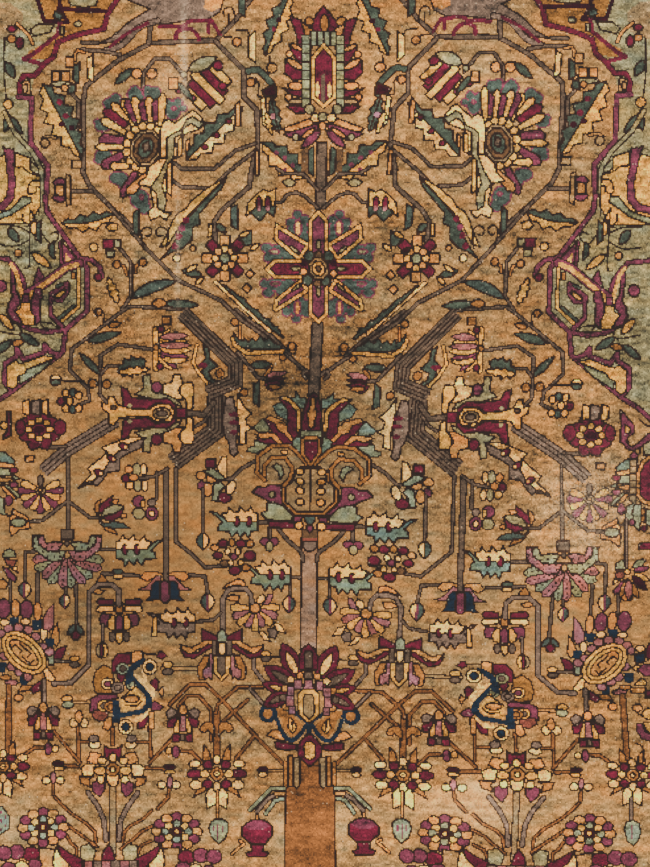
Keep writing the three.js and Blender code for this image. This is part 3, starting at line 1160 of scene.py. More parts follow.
def drop_bulb(pen, at, scale=1.0, flip=1, stripe="rose"):
    """A hanging bulb in two halves with a stripe between."""
    p = pen.placed(at, 0, scale)
    outline = [(0, 10), (6, 5), (7.5, -1), (5, -6), (0, -11)]
    p.patch([(-flip * x, y) for x, y in outline], "slate")
    p.patch([(flip * x, y) for x, y in outline], "cream")
    if stripe:
        p.line([(0, 7), (0, -8)], stripe, 3, smooth=False)


PALMETTE_PLUMES = [
    ("jade", [(305, 408), (298, 407), (290, 398), (295, 397), (296, 391), (300, 397), (306, 398)]),
    ("jade", [(290, 421), (277, 415), (273, 406), (279, 402), (285, 403), (290, 409)]),
    ("mist", [(270, 433), (257, 431), (253, 427), (259, 422), (263, 418), (268, 423)]),
    ("mist", [(271, 443), (263, 449), (256, 453), (247, 451), (248, 447), (254, 446), (255, 440),
              (263, 441)]),
    ("mist", [(300, 438), (298, 432), (305, 429), (307, 434)]),
    ("jade", [(302, 454), (293, 445), (290, 439), (300, 436)]),
    ("wine", [(279, 398), (290, 398), (297, 408), (297, 426), (299, 434), (294, 439), (288, 431),
              (288, 410)]),
    ("wine", [(264, 418), (272, 418), (278, 424), (281, 430), (290, 437), (293, 443), (286, 446),
              (276, 440), (271, 429)]),
    ("wine", [(256, 437), (263, 439), (271, 438), (279, 442), (272, 444), (260, 442)]),
    ("straw", [(278, 397), (287, 396), (296, 403), (301, 410), (301, 431), (297, 431), (297, 412),
               (289, 402)]),
    ("apricot", [(265, 418), (270, 415), (283, 420), (288, 426), (288, 431), (294, 439), (291, 441),
                 (284, 433), (278, 430), (275, 423)]),
    ("apricot", [(255, 434), (268, 432), (275, 433), (281, 440), (283, 444), (278, 443), (271, 437),
                 (263, 439)]),
]


def middle_palmette(pen):
    """The palmette that crowns the vase: bent plumes about a wine bud with an apricot heart."""
    patches(pen, PALMETTE_PLUMES, line=FINE_LINE_KNOTS)
    axis_patches(pen, [
        ("mist", [(11, 429), (11, 437)]),
        ("wine", [(0, 391), (4, 395), (7, 403), (9.5, 412), (9.5, 430), (0, 430)]),
        ("apricot", [(2.4, 397), (2.6, 407), (4.6, 412), (4.6, 416), (3, 420), (3, 426), (0, 428)]),
    ])


VOLUTE = [(307, 464), (303, 459), (295, 450), (288, 445), (273, 445), (258, 456), (257, 472),
          (265, 480)]
VOLUTE_TURN = [(264, 475), (264, 466), (272, 457), (285, 457), (292, 467), (291, 477), (284, 485)]
VASE_PARTS = [
    ("rose", [(252, 492), (258, 486), (265, 487), (270, 484), (281, 485), (282, 498), (286, 504),
              (297, 514), (289, 514), (272, 503), (262, 497)]),
    ("mist", [(261, 513), (267, 510), (267, 503), (273, 502), (283, 505), (288, 511), (293, 516),
              (291, 520), (276, 520), (266, 518)]),
    ("wine", [(268, 520), (296, 522), (296, 528), (269, 527)]),
    ("rose", [(293, 516), (302, 516), (301, 521), (294, 521)]),
]
STUD_ROWS = (471, 481, 490, 501.5)


def vase(pen):
    """The vase: volutes framed in orange, a body with studs, side leaves and foot."""
    patches(pen, VASE_PARTS)
    pen.dot((272, 494), 3.2, "sage")
    pen.dot((299, 525), 4.2, "straw")
    # Body
    axis_patches(pen, [
        ("orange", [(15, 466), (18, 469), (20, 478), (28, 484), (28, 502), (15, 515), (0, 515)]),
        ("dun", [(12, 468), (15, 472), (17, 481), (24.5, 486), (24.5, 501), (13, 511), (0, 511)]),
    ])
    for y in STUD_ROWS:
        pen.patch(around((300, y), (4.4, 3.6), 22.5, 8), "straw")
    axis_line(pen, (466, 512), 0.3, "ink")
    # Volutes
    pen.patch([(303, 462), (288, 447), (273, 446), (260, 457), (259, 472), (265, 479), (280, 482),
               (289, 479), (293, 470), (300, 466)], "dun", None)
    pen.stems([VOLUTE, VOLUTE_TURN], 2.6, "orange", smooth=False)
    pen.patch([(272, 466), (277, 463), (282, 466), (284, 474), (280, 479), (278, 471)], "mist")
    pen.patch([(281, 450), (287, 450), (287, 454), (281, 453)], "straw", line=FINE_LINE_KNOTS)
    # Neck with the crown stone
    axis_patches(pen, [
        ("orange", [(6, 435.5), (10, 439), (10.4, 453), (0, 468)]),
        ("wine", [(6.6, 440), (6.6, 453), (0, 462)]),
    ], line=FINE_LINE_KNOTS)
    # Foot
    axis_patch(pen, [(6, 515), (5, 520), (2, 524)], "slate")
    axis_patch(pen, [(3, 525), (3.6, 529), (0, 532)], "rose")


def trunk_low(pen):
    """The thick trunk under the vase, its rust ring and the stems that leave it."""
    axis_line(pen, (529, 648), 16, "bark")
    axis_patch(pen, [(7, 530), (7, 537)], "brown", None)
    axis_patch(pen, [(7, 537), (7, 541)], "rust", None)
    axis_patch(pen, [(7, 541), (7, 546), (4, 550), (0, 551)], "mauve")
    pen.stems([[(279, 529), (288, 540), (300, 550), (303, 556), (303, 560)]], 2.4, "stem",
              smooth=False)
    pen.stems([[(272, 522), (258, 522)], [(270, 526), (270, 538)], [(291, 576), (300, 577)]], 1.8,
              "stem")


CLUSTER_PETALS = [
    (-12, 13, 4.8, 4, "wine"), (6, 13, 5, 4, "wine"), (15, 1, 6, 5, "wine"), (0, -14, 6, 4.4, "wine"),
    (-17, 1, 5, 3.6, "wine"), (-3, 14, 3.4, 4, "amber"), (15, 13, 4, 4, "orange"),
    (11, -11, 4.4, 3.6, "orange"), (-20, 9, 4.4, 3.4, "apricot"), (-10, -7, 5, 3.6, "brown"),
    (-7, 5, 3, 3.4, "cream"), (3, 5, 3, 3.4, "cream"), (-4, -6, 2.6, 3, "cream"),
    (6, -6, 3, 3.4, "straw"), (-1, 0, 3.8, 3.6, "rose"),
]
CREAM_PETALS = [
    ("wine", [(206, 459), (216, 458), (216, 467), (206, 467)]),
    ("cream", [(217, 467), (222, 457), (227, 456), (227, 478), (220, 476)]),
    ("mist", [(203, 470), (214, 468), (224, 476), (227, 480), (217, 479)]),
    ("apricot", [(206, 474), (219, 480), (208, 485)]),
    ("mist", [(214, 484), (221, 481), (225, 486), (219, 492), (218, 501), (212, 500)]),
]


def flowers_beside_vase(pen):
    """Leaves, rosettes, bells and bulbs on both sides of the vase and the trunk."""
    serrated_pair(pen, (240, 521), -1)
    serrated_pair(pen, (273, 574), -1)
    pen.stems([[(243, 560), (254, 559)]], 1.4, "stem")
    ovals(pen, [(265, 541, 4.8, 4, "rose"), (274, 541, 4.8, 4, "rose"), (269.5, 546, 4, 5, "sage")])
    rosette = pen.placed((235, 556), 0)
    for x, y, rx, ry, wool in CLUSTER_PETALS:
        rosette.oval((x, y), (rx, ry), 0, wool)
    patches(pen, CREAM_PETALS)
    ovals(pen, [(201, 475, 5, 4, "apricot"), (202, 485, 4.4, 4.4, "rose"), (208, 489, 4.6, 7, "apricot"),
                (225, 497, 6.6, 5.4, "wine")])
    pen.oval((231, 487), (4.4, 7.4), -24, "cream")
    pen.stems([[(254, 461), (242, 468), (232, 478), (227, 479)]], 2, "stem", smooth=False)
    drop_bulb(pen, (203, 540), 0.85, stripe=None)
    drop_bulb(pen, (208, 601), 0.92)
    drop_bulb(pen, (289, 603), 0.85, flip=-1)
    pen.stems([[(203, 488), (203, 531)], [(190, 574), (205, 576), (208, 592)],
               [(290, 586), (290, 594)]], 1.8, "stem", smooth=False)


def stem_bundles(pen):
    """The bundles of parallel stems at mid height, and the stems that hang from them."""
    bundle(pen, [(224, 396), (224, 433), (178, 467)], 5, 3.6, "stem")
    bundle(pen, [(187, 309), (240.5, 361), (240.5, 385), (211, 397)], 4, 3.6, "stem")
    bundle(pen, [(118, 424), (70, 453), (46, 473)], 3, 4.2)
    pen.stems([[(211, 412), (204, 421), (196, 426)]], 1.6, "stem", smooth=False)
    pen.stems([[(166, 470), (166, 578)]], 4.4, "stem", smooth=False)
    hanging = [
        [(176, 468), (176, 541), (190, 552), (206, 567), (222, 565), (232, 562)],
        [(157, 472), (157, 498), (151, 502)],
        [(168, 468), (154, 476), (140, 478)],
        [(68, 458), (68, 528)],
        [(68, 500), (42, 520), (28, 521)],
        [(70, 502), (90, 517), (100, 517)],
        [(46, 447), (66, 446)],
        [(98, 549), (118, 549)],
        [(38, 550), (25, 552), (25, 580)],
        [(102, 573), (138, 575)],
        [(66, 586), (66, 592)],
        [(76, 584), (77, 624)],
        [(38, 572), (38, 602)],
        [(11, 580), (11, 600)],
    ]
    pen.stems(hanging, 1.8, "stem", smooth=False)


def roundels(pen):
    """The wine roundels at the outer side, with their bars and the small flower below."""
    p = pen.placed((39, 429), 0)
    p.petals((0, 0), 8, 6, 22, 15, "wine", first=22)
    p.oval((0, 0), (16, 14), 0, "wine", None)
    p.oval((0, 0), (6, 4), 0, "plum", None)
    bead_ring(p, (0, 0), (11, 9), (4, 3.2), ["straw"], 8)
    ovals(p, [(21, 2, 6.4, 8, "wine"), (-19, 2, 5, 8, "wine")])
    for x, wool in ((26, "straw"), (36, "mauve"), (45, "straw")):
        bar_leaf(pen, (x, 414), (x, 400), 7 if wool == "straw" else 9, wool, 1)
    q = pen.placed((-2, 425), 0)
    q.patch([(8, 14), (12, 14), (12, -10), (4, -14), (4, -10), (8, -6)], "wine")
    q.dot((5, 0), 4, "straw")
    pen.patch([(24, 456), (34, 455), (33, 461), (25, 462)], "apricot")
    # Radial flower
    r = pen.placed((40, 490), 0)
    for number in range(6):
        wool, reach = ("straw", 21) if number % 2 else ("rose", 23)
        for turn in (180 - 22.5 * number, 180 + 22.5 * number):
            r.placed((0, 0), turn).patch([(-1.8, 5), (-4, reach - 4), (-2.6, reach), (2.6, reach),
                                          (4, reach - 4), (1.8, 5)], wool, line=FINE_LINE_KNOTS)
    ovals(r, [
        (0, 10, 3, 5.4, "stem"), (0, 0, 5.4, 4, "dun"), (0, 0, 2.4, 1.8, "straw"),
    ], line=LINE_KNOTS)


def spot_row(pen, path, gap=4.4, radius=1.1):
    """A row of small dark spots along a straight path."""
    start, end = np.array(path[0], float), np.array(path[1], float)
    count = max(2, int(np.hypot(*(end - start)) / gap) + 1)
    for share in np.linspace(0, 1, count):
        pen.dot(start + share * (end - start), radius, "ink", None)


SPOTTED_LOBES = [(-103, 35), (-139, 33), (180, 32), (139, 33), (103, 37)]


def spotted_palmette(pen):
    """The drooping palmette of pink and sage petals with rows of dark spots."""
    p = pen.placed((67, 556), 0)
    for turn, reach in SPOTTED_LOBES:
        lobe = p.placed((0, 0), turn)
        for s, wool in ((1, "pink"), (-1, "mist")):
            lobe.patch([(0, 2), (s * 4, 4), (s * 8.4, reach - 15), (s * 8.6, reach - 5),
                        (s * 4.4, reach), (0, reach - 3)], wool, line=FINE_LINE_KNOTS)
            spot_row(lobe, [(s * 3, 10), (s * 4.4, reach - 4)])
    for s in (-1, 1):
        upper, lower = ("pink", "mist") if s < 0 else ("mist", "pink")
        p.patch([(s * 1, 6), (s * 6, -4), (s * 16, -5), (s * 26, 2), (s * 34, 8), (s * 35, 21),
                 (s * 29, 21), (s * 27, 12), (s * 17, 6)], lower)
        p.patch([(s * 3, 14), (s * 12, 15), (s * 21, 13), (s * 24, 21), (s * 30, 21), (s * 28, 12),
                 (s * 20, 6), (s * 10, 5)], upper)
        spot_row(p, [(s * 7, 0), (s * 19, 0)])
        spot_row(p, [(s * 8, 4), (s * 24, 5)])
        spot_row(p, [(s * 9, 10), (s * 21, 9)])
        spot_row(p, [(s * 26, 12), (s * 28, 19)])
        spot_row(p, [(s * 32, 8), (s * 33, 19)])
    p.patch([(-6, 27), (6, 27), (6, 17), (-6, 17)], "stem")
    p.dot((0, 13), 2.4, "stem")
    drop_bulb(pen, (25, 589), 0.85)
    drop_bulb(pen, (65, 600), 0.72)


def lily(pen):
    """The hanging lily: a rose tongue, navy cheeks, pink and orange outer petals."""
    p = pen.placed((165, 585), 0)
    for s in (-1, 1):
        patches(p, [
            ("apricot", [(s * 3, 12), (s * 10, 14), (s * 20, 14), (s * 25, 8), (s * 18, 4), (s * 11, 8),
              (s * 4, 8)]),
            ("pink", [(s * 3, 9), (s * 9, 10), (s * 14, 4), (s * 19, -1), (s * 27, -4), (s * 14, -5),
              (s * 6, 1)]),
            ("navy", [(s * 4, 5), (s * 9, 5), (s * 13, 1), (s * 15, -11), (s * 19, -15), (s * 5, -14)]),
        ], line=FINE_LINE_KNOTS)
    p.patch([(-4.6, 3), (0, 5), (4.6, 3), (5, -14), (2, -17), (-2, -17), (-5, -14)], "rose")


CLUSTER_LEFT = [
    (126, 478, 4, 4.4, "wine"), (129, 469, 4, 4, "apricot"), (137, 469, 4, 6.4, "sage"),
    (144, 469, 3.2, 5.6, "cream"), (130, 485, 4.2, 4, "straw"), (138, 485, 4, 6, "sage"),
    (145, 485, 3.2, 5.6, "cream"), (134, 477, 4.4, 3.4, "apricot"),
]
ROSE_CLUSTER = [
    (139, 501, 6.4, 6, "rose"), (143, 503, 2.4, 4, "straw"), (152, 502, 4, 4, "mauve"),
    (139, 513, 6.4, 5.6, "sage"), (152, 513, 6.4, 7, "rose"), (152, 513, 3, 3, "cream"),
]
TULIP_PETALS = [
    ("orange", [(98, 516), (94, 509), (96, 502), (101, 499), (99, 508)]),
    ("wine", [(98, 514), (100, 505), (107, 499), (113, 495), (111, 504), (105, 510)]),
    ("apricot", [(110, 502), (114, 499), (119, 499), (117, 505)]),
    ("sage", [(100, 517), (105, 508), (114, 504), (124, 505), (119, 512), (108, 514)]),
    ("wine", [(102, 518), (108, 515), (115, 513), (124, 507), (121, 516), (112, 521)]),
    ("apricot", [(121, 513), (126, 513), (127, 517), (122, 518)]),
    ("slate", [(99, 518), (104, 523), (114, 521), (124, 523), (130, 528), (116, 528), (103, 526)]),
    ("orange", [(99, 521), (104, 526), (115, 529), (117, 534), (106, 530)]),
]
EDGE_FLOWER = [
    ("jade", [(-8, 450), (4, 452), (14, 460), (13, 464), (-8, 460)]),
    ("apricot", [(-8, 460), (14, 464), (12, 468), (-8, 466)]),
    ("mist", [(-8, 467), (9, 468), (13, 475), (-8, 476)]),
    ("apricot", [(-8, 476), (13, 478), (6, 482), (-8, 482)]),
    ("mist", [(10, 474), (20, 478), (14, 480)]),
    ("apricot", [(-2, 484), (4, 486), (16, 498), (10, 499)]),
    ("mist", [(0, 482), (6, 484), (19, 494), (18, 498)]),
    ("mist", [(-6, 494), (3, 498), (4, 512), (10, 516), (-6, 512)]),
    ("mist", [(3, 557), (4, 551), (9, 548), (15, 551), (16, 557)]),
    ("rust", [(4, 558), (17, 560), (14, 566), (8, 565)]),
    ("cream", [(10, 567), (17, 566), (18, 572)]),
    ("rose", [(3, 566), (9, 568), (17, 577), (16, 582), (8, 577)]),
    ("apricot", [(-2, 580), (4, 578), (9, 584), (6, 588), (-2, 588)]),
]
FIELD_LEAVES = [
    ("orange", [(97, 580), (101, 574), (104, 575), (108, 581), (100, 584)]),
    ("apricot", [(91, 592), (96, 588), (105, 590), (101, 594)]),
]


def small_field_flowers(pen):
    """Clusters, tulips and leaves between the lattice stems of the left field."""
    # Saz leaf in cream and grey with wine spots
    patches(pen, [
        ("cream", [(146, 437), (130, 437), (120, 440), (102, 447), (108, 452), (98, 460), (88, 468),
          (92, 474), (80, 485), (92, 484), (104, 472), (112, 458), (126, 446)]),
        ("mauve", [(146, 437), (140, 448), (130, 452), (120, 458), (120, 470), (108, 472), (104, 478),
          (97, 486), (90, 480), (78, 488), (92, 482), (104, 470), (112, 457), (126, 445)]),
    ])
    for x, y in ((124, 446), (112, 458), (99, 472)):
        pen.oval((x, y), (5, 3.2), -30, "wine")
        pen.dot((x + 2, y + 1), 1.4, "cream", None)
    ovals(pen, CLUSTER_LEFT)
    ovals(pen, ROSE_CLUSTER)
    patches(pen, TULIP_PETALS + EDGE_FLOWER + FIELD_LEAVES, line=SMALL_LINE_KNOTS)
    serrated_pair(pen, (134, 549))
    # Tulip to the left
    patches(pen, [
        ("apricot", [(10, 515), (20, 512), (28, 518), (30, 528), (20, 529), (11, 536), (9, 526)]),
        ("apricot", [(11, 513), (12, 508), (28, 517), (27, 520)]),
    ], line=SMALL_LINE_KNOTS)
    pen.oval((18, 522), (8, 4.4), 0, "mist")
    # Dragonfly flower
    d = pen.placed((119.5, 618), 0)
    wings = [("wine", [(5, 14), (6, 19), (20, 20), (23, 17), (20, 13)]),
             ("cream", [(5, 8), (6, 13), (22, 12), (23, 8), (20, 6)]),
             ("rose", [(8, 4), (18, 5), (20, 0), (19, -6), (13, -8), (11, -2)]),
             ("straw", [(4, 2), (7, 4), (12, -3), (11, -10), (5, -12), (4, -4)])]
    twin_patches(d, wings)
    ovals(d, [(7, -18, 3.4, 5, "stem")], mirrored=True)
    d.patch([(-4, 0), (0, 5), (4, 0), (4, -12), (-4, -12)], "rose")
    d.patch([(-2, 18), (2, 18), (4, 10), (3, 5), (-3, 5), (-4, 10)], "orange")
    d.patch([(-3.4, -14), (3.4, -14), (3, -22), (0, -26), (-3, -22)], "straw")
    ovals(pen, [(118, 571, 5.4, 2.8, "teal"), (118, 576, 5, 2.6, "straw")])
    ovals(pen, [(13, 470, 4.4, 3, "wine"), (13, 484, 4.4, 3, "rose"), (8, 500, 4, 5.4, "rose")])


def heart_leaf(pen, base, tip, width, wool, heart, share=0.45):
    """A leaf of one wool with a smaller leaf of another inside."""
    base, tip = np.array(base, float), np.array(tip, float)
    heart_base, heart_tip = (base + place * (tip - base) for place in HEART_SPAN)
    pen.leaf(base, tip, width, wool, line=FINE_LINE_KNOTS)
    pen.leaf(heart_base, heart_tip, width * share, heart, line=FINE_LINE_KNOTS)


LOW_PETALS = [((299, 678), (282, 642), 19, "cream"), ((296, 686), (264, 665), 18, "stem"),
              ((292, 693), (262, 682), 13, "straw"), ((290, 693), (263, 705), 15, "stem")]
BRICKS = [(298, 684, 7, 10), (291, 690, 7, 9), (290, 700, 7, 11), (292, 710, 6, 8)]


def lower_palmette(pen):
    """The palmette at the foot of the trunk: wine rimmed petals about a framed heart."""
    for base, tip, width, heart in LOW_PETALS:
        heart_leaf(pen, base, tip, width, "wine", heart, 0.42)
    for x, y, wool in ((291, 679, "cream"), (285, 688, "apricot"), (283, 697, "stem"),
                       (300, 675, "apricot"), (286, 706, "apricot")):
        pen.dot((x, y), 3.6, wool, line=FINE_LINE_KNOTS)
    for x, y, w, h in BRICKS:
        pen.patch([(x - w / 2, y - h / 2), (x + w / 2, y - h / 2), (x + w / 2, y + h / 2),
                   (x - w / 2, y + h / 2)], "pink", line=FINE_LINE_KNOTS)
    axis_patch(pen, [(0, 643), (6, 648), (9, 655), (9, 669)], "wine")
    axis_patches(pen, [
        ("stem", [(2, 650), (4, 653), (4, 668)]), ("stem", [(4, 671), (4, 678)]),
        ("pink", [(4, 679), (5, 688)]), ("straw", [(6, 688), (10.4, 693), (10.4, 714), (0, 723)]),
    ], line=SMALL_LINE_KNOTS)
    axis_patch(pen, [(3.6, 694), (5.6, 698), (5.6, 713), (0, 719)], "dun", line=FINE_LINE_KNOTS)


BOTEH_EDGE = [(277, 718), (281, 730), (287, 738), (294, 739), (301, 733), (305, 726), (309, 722),
              (300, 716), (291, 709), (282, 705), (270, 704)]


def boteh_pair(pen):
    """The navy bordered pair of botehs under the palmette, with the wine blossom below."""
    pen.patch([(267, 735), (273, 729), (283, 730), (288, 738), (283, 741), (274, 738)], "apricot")
    pen.patch([(275, 741), (286, 742), (296, 744), (298, 748), (288, 750), (276, 748)], "wine")
    pen.patch([(272, 707), (282, 708), (292, 714), (303, 724), (299, 734), (291, 737), (285, 730),
               (281, 718), (275, 712)], "orange", None)
    pen.patch([(289, 717), (293, 719), (297, 727), (293, 733), (288, 727)], "straw",
              line=SMALL_LINE_KNOTS)
    pen.line([(292, 721), (293, 729)])
    pen.line(BOTEH_EDGE, "navy", 4.2)
    pen.dot((268, 713), 9.4, "navy", None)
    pen.dot((268, 713), 4.8, "orange", None)
    axis_patch(pen, [(7, 718), (2, 726), (3, 732), (9, 740), (0, 742)], "navy", None)
    axis_patch(pen, [(1, 734), (7, 738), (12.4, 746), (11.4, 756), (5, 762), (0, 766)], "wine")
    axis_patch(pen, [(3, 741), (6, 746), (5, 757), (0, 760)], "straw", line=SMALL_LINE_KNOTS)


def root(pen):
    """The broad golden root at the bottom, with upright bars and grey side roots."""
    axis_patch(pen, [(17, 757), (17, 784), (24.5, 787), (25.5, 880), (0, 880)], "root")
    pen.stems([[(285, 762), (285, 786)]], 2.4, "orange", smooth=False)
    patches(pen, [
        ("orange", [(288, 755), (293, 755), (293, 786), (289, 786)]),
        ("dun", [(294, 757), (300, 757), (300, 784), (297, 788), (294, 786)]),
    ], line=SMALL_LINE_KNOTS)
    pen.stems([
        [(284, 788), (271, 788), (262, 797), (250, 809)], [(283, 798), (275, 800), (266, 813)],
    ], 2.6, "mist", smooth=False)
    pen.stems([[(277, 793), (267, 799), (257, 811)]], 2.6, "mauve", smooth=False)
    pen.stems([[(284, 793), (276, 793)]], 2, "apricot", smooth=False)


LATTICE = [
    [(170, 704), (190, 684), (206, 684), (222, 699), (262, 742), (283, 763)],
    [(264, 686), (238, 686), (218, 704), (216, 712)],
    [(248, 699), (222, 722)],
    [(178, 706), (187, 695), (199, 695), (211, 709), (211, 740)],
    [(254, 736), (236, 758)],
]
TWIG_CURL = [(17, 8), (15, 3), (10, 0), (4, 1), (2, 5), (2, 15), (7, 10), (9, 8), (11, 11),
             (15, 10)]


def lattice(pen):
    """The orange branches that cross under the palmette, with their curls and buds."""
    pen.stems([[(217, 712), (217, 756)]], 4.6, "root", smooth=False)
    pen.stems(LATTICE, 2.2, "root", smooth=False)
    for s in (-1, 1):
        pen.patch([(216.5 + s * x, 721 + y) for x, y in TWIG_CURL], "orange",
                  line=SMALL_LINE_KNOTS)
    pen.stems([[(254, 656), (254, 668), (266, 684)], [(250, 688), (264, 704)]], 2.2,
              "mauve", smooth=False)
    pen.stems([[(268, 770), (284, 770)]], 1.6, "gold")
    ovals(pen, [(263, 769, 5.4, 3.2, "plum"), (263, 774, 4.4, 2.6, "cream"),
                (266, 653, 5, 3, "straw"), (266, 658, 5, 3, "stem")])
    pen.line([(272, 656), (279, 656)])


DAISY_WOOLS = ("straw", "pink")


def half_daisy(pen):
    """The drooping daisy of straw and pink petals, with its arched stem."""
    p = pen.placed((255, 607), 0)
    for number in range(9):
        turn = 90 + number * 22.5
        reach = 21 if number in (3, 5) else 24
        p.placed((0, 0), turn).patch([(-1.8, 6), (-4.2, reach - 6), (-2.6, reach), (2.6, reach),
                                      (4.2, reach - 6), (1.8, 6)], DAISY_WOOLS[number % 2],
                                     line=FINE_LINE_KNOTS)
    patches(pen, [
        ("cream", [(257, 602), (258, 596), (264, 593), (265, 599), (262, 603)]),
        ("pink", [(263, 604), (268, 594), (273, 593), (272, 600), (268, 604)]),
        ("mauve", [(268, 628), (274, 627), (278, 632), (275, 638), (269, 636)]),
    ], line=FINE_LINE_KNOTS)
    p.patch(around((0, 0), (5.6, 5.6), 22.5, 8), "apricot")
    for outline in ([(258, 630), (264, 631), (271, 641), (264, 639)],
                    [(273, 621), (281, 624), (286, 633), (277, 630)]):
        pen.patch(outline, "cream", line=FINE_LINE_KNOTS)
    pen.stems([[(223, 632), (223, 598), (228, 590), (234, 588), (246, 588), (251, 594), (252, 602)]],
              3.2, "mauve", smooth=False)
    patches(pen, [
        ("apricot", [(223, 588), (228, 583), (238, 578), (244, 580), (246, 586), (236, 584)]),
        ("apricot", [(226, 598), (231, 594), (240, 595), (238, 601), (231, 600)]),
    ], line=SMALL_LINE_KNOTS)
    pen.stems([[(198, 621), (214, 619), (221, 612)]], 1.6, "stem", smooth=False)


HANGING_PETALS = [
    ("wine", [(4, 4), (20, 12), (20, 0), (5, 0)]),
    ("apricot", [(4, 0), (18, 0), (30, -7), (42, -4), (37, -12), (33, -14), (24, -9), (12, -4)]),
    ("wine", [(8, -5), (14, -3), (24, -12), (33, -13), (42, -7), (38, -16), (28, -18), (18, -12)]),
    ("orange", [(12, -15), (18, -15), (24, -26), (24, -34), (22, -39), (18, -39), (16, -28)]),
    ("pink", [(8, -13), (12, -13), (13, -26), (19, -29), (19, -36), (16, -39), (13, -36),
              (10, -39)]),
]


def hanging_palmette(pen):
    """The bell palmette with pink boots, wine wings and straw ribs."""
    p = pen.placed((222, 640), 0)
    twin_patches(p, HANGING_PETALS)
    twins(p, [(5, 0), (10, 0), (10, -15), (5, -15)], "stem", line=SMALL_LINE_KNOTS)
    patches(p, [
        ("straw", [(-9, -15), (-8, -32), (0, -41), (8, -32), (9, -15)]),
        ("cream", [(-3, -2), (3, -2), (3.4, -12), (0, -15), (-3.4, -12)]),
        ("mist", [(-4, 8), (0, 12), (4, 8), (5, -1), (-5, -1)]),
    ], line=SMALL_LINE_KNOTS)
    p.patch([(-4, -16), (-4, -31), (0, -36), (4, -31), (4, -16)], "stem", line=FINE_LINE_KNOTS)


EIGHT_PETALS = [
    (22, 10, 6, 4, "cream"), (22, 0, 8, 4.6, "wine"), (21, -11, 6.4, 4.6, "cream"),
    (9, 9, 5, 4.4, "wine"), (12, 0, 4.6, 4.2, "straw"), (9, -10, 5, 4.4, "wine"),
]


def eight_flowers(pen):
    """Two open rosettes with a ringed heart, petals in pairs and a two-pointed base."""
    for at, scale in (((217, 773), 1.0), ((2, 766), 0.9)):
        eight_flower(pen.placed(at, 0, scale))


def eight_flower(p):
    """One open rosette about the middle of its pen."""
    twins(p, [(1, -13), (1, -30), (10, -35), (11, -20), (7, -14)], "cream",
          line=SMALL_LINE_KNOTS)
    twins(p, [(12, -13), (18, -12), (24, -24), (18, -20), (10, -16)], "orange",
          line=SMALL_LINE_KNOTS)
    twins(p, [(6, 13), (7, 22), (13, 29), (14, 13)], "orange", line=SMALL_LINE_KNOTS)
    ovals(p, EIGHT_PETALS, mirrored=True)
    ovals(p, [(0, 14, 4, 5, "cream"), (0, -13, 4, 5.4, "cream"), (0, 0, 7, 6.6, "orange"),
              (0, 0, 3, 3, "cream")])
    p.dot((0, 0), 1, "ink", None)


FUCHSIA_PETALS = [
    ("mauve", [(5, 9), (12, 12), (17, 8), (15, 1), (9, 3)]),
    ("wine", [(5, 6), (9, 2), (16, -1), (15, -8), (10, -8), (6, -2)]),
    ("straw", [(2, 5), (5, 2), (9, -8), (9, -13), (4, -13)]),
    ("wine", [(2, -15), (10, -14), (10, -22), (4, -22)]),
]


def fuchsias(pen):
    """Two hanging fuchsias with mauve cheeks and a wine skirt."""
    for at in ((43, 717), (183, 719)):
        fuchsia(pen.placed(at, 0))


def fuchsia(p):
    """One fuchsia about the middle of its pen."""
    twin_patches(p, FUCHSIA_PETALS)
    patches(p, [
        ("pink", [(-2.6, 5), (2.6, 5), (3.6, -12), (-3.6, -12)]),
        ("stem", [(-2.4, -14), (2.4, -14), (2.4, -21), (-2.4, -21)]),
    ], line=SMALL_LINE_KNOTS)
    p.oval((0, 10), (4.4, 5.4), 0, "apricot")


GARDEN_STALKS = [
    [(79, 759), (78, 724)], [(151, 756), (150, 726)], [(80, 762), (54, 731)],
    [(150, 762), (174, 736)], [(78, 766), (64, 765)], [(146, 767), (166, 768)],
    [(79, 741), (90, 741)], [(149, 741), (138, 741)], [(113, 744), (113, 726)],
    [(24, 754), (34, 747), (44, 747)], [(182, 750), (192, 751), (202, 762)],
    [(53, 784), (53, 794)], [(170, 786), (168, 797), (158, 808)],
]
GARDEN_PETALS = [
    ("apricot", [(8, 6), (12, 16), (22, 18), (26, 9), (18, 5)]),
    ("cream", [(18, 5), (26, 6), (32, 2), (30, -6), (20, -6)]),
    ("orange", [(19, -7), (34, -7), (32, -14), (22, -18), (24, -10)]),
    ("rose", [(8, -12), (14, -10), (21, -14), (20, -22), (13, -28), (8, -20)]),
]
GARDEN_BUDS = [
    (74, 722, 4.4, 5, "cream"), (84, 722, 4.4, 5, "cream"), (79, 716, 3.8, 6.4, "apricot"),
    (95, 744, 6, 4, "cream"), (94, 738, 5, 4, "mauve"), (131, 744, 6, 4, "cream"),
    (132, 738, 5, 4, "mauve"), (58, 763, 6, 2.8, "plum"), (59, 768, 5.4, 2.4, "straw"),
    (170, 766, 6, 2.8, "plum"), (170, 771, 5.4, 2.4, "straw"),
    (46, 780, 4.4, 4, "cream"), (60, 780, 4.4, 4, "cream"), (53, 777, 2.8, 6, "pink"),
    (162, 784, 4.4, 4, "cream"), (176, 784, 4.4, 4, "cream"), (170, 781, 2.8, 6, "pink"),
    (48, 748, 3.6, 6.4, "rose"), (55, 748, 3.4, 3.6, "straw"),
    (176, 751, 3.6, 6.4, "rose"), (169, 750, 3.4, 3.6, "straw"),
]


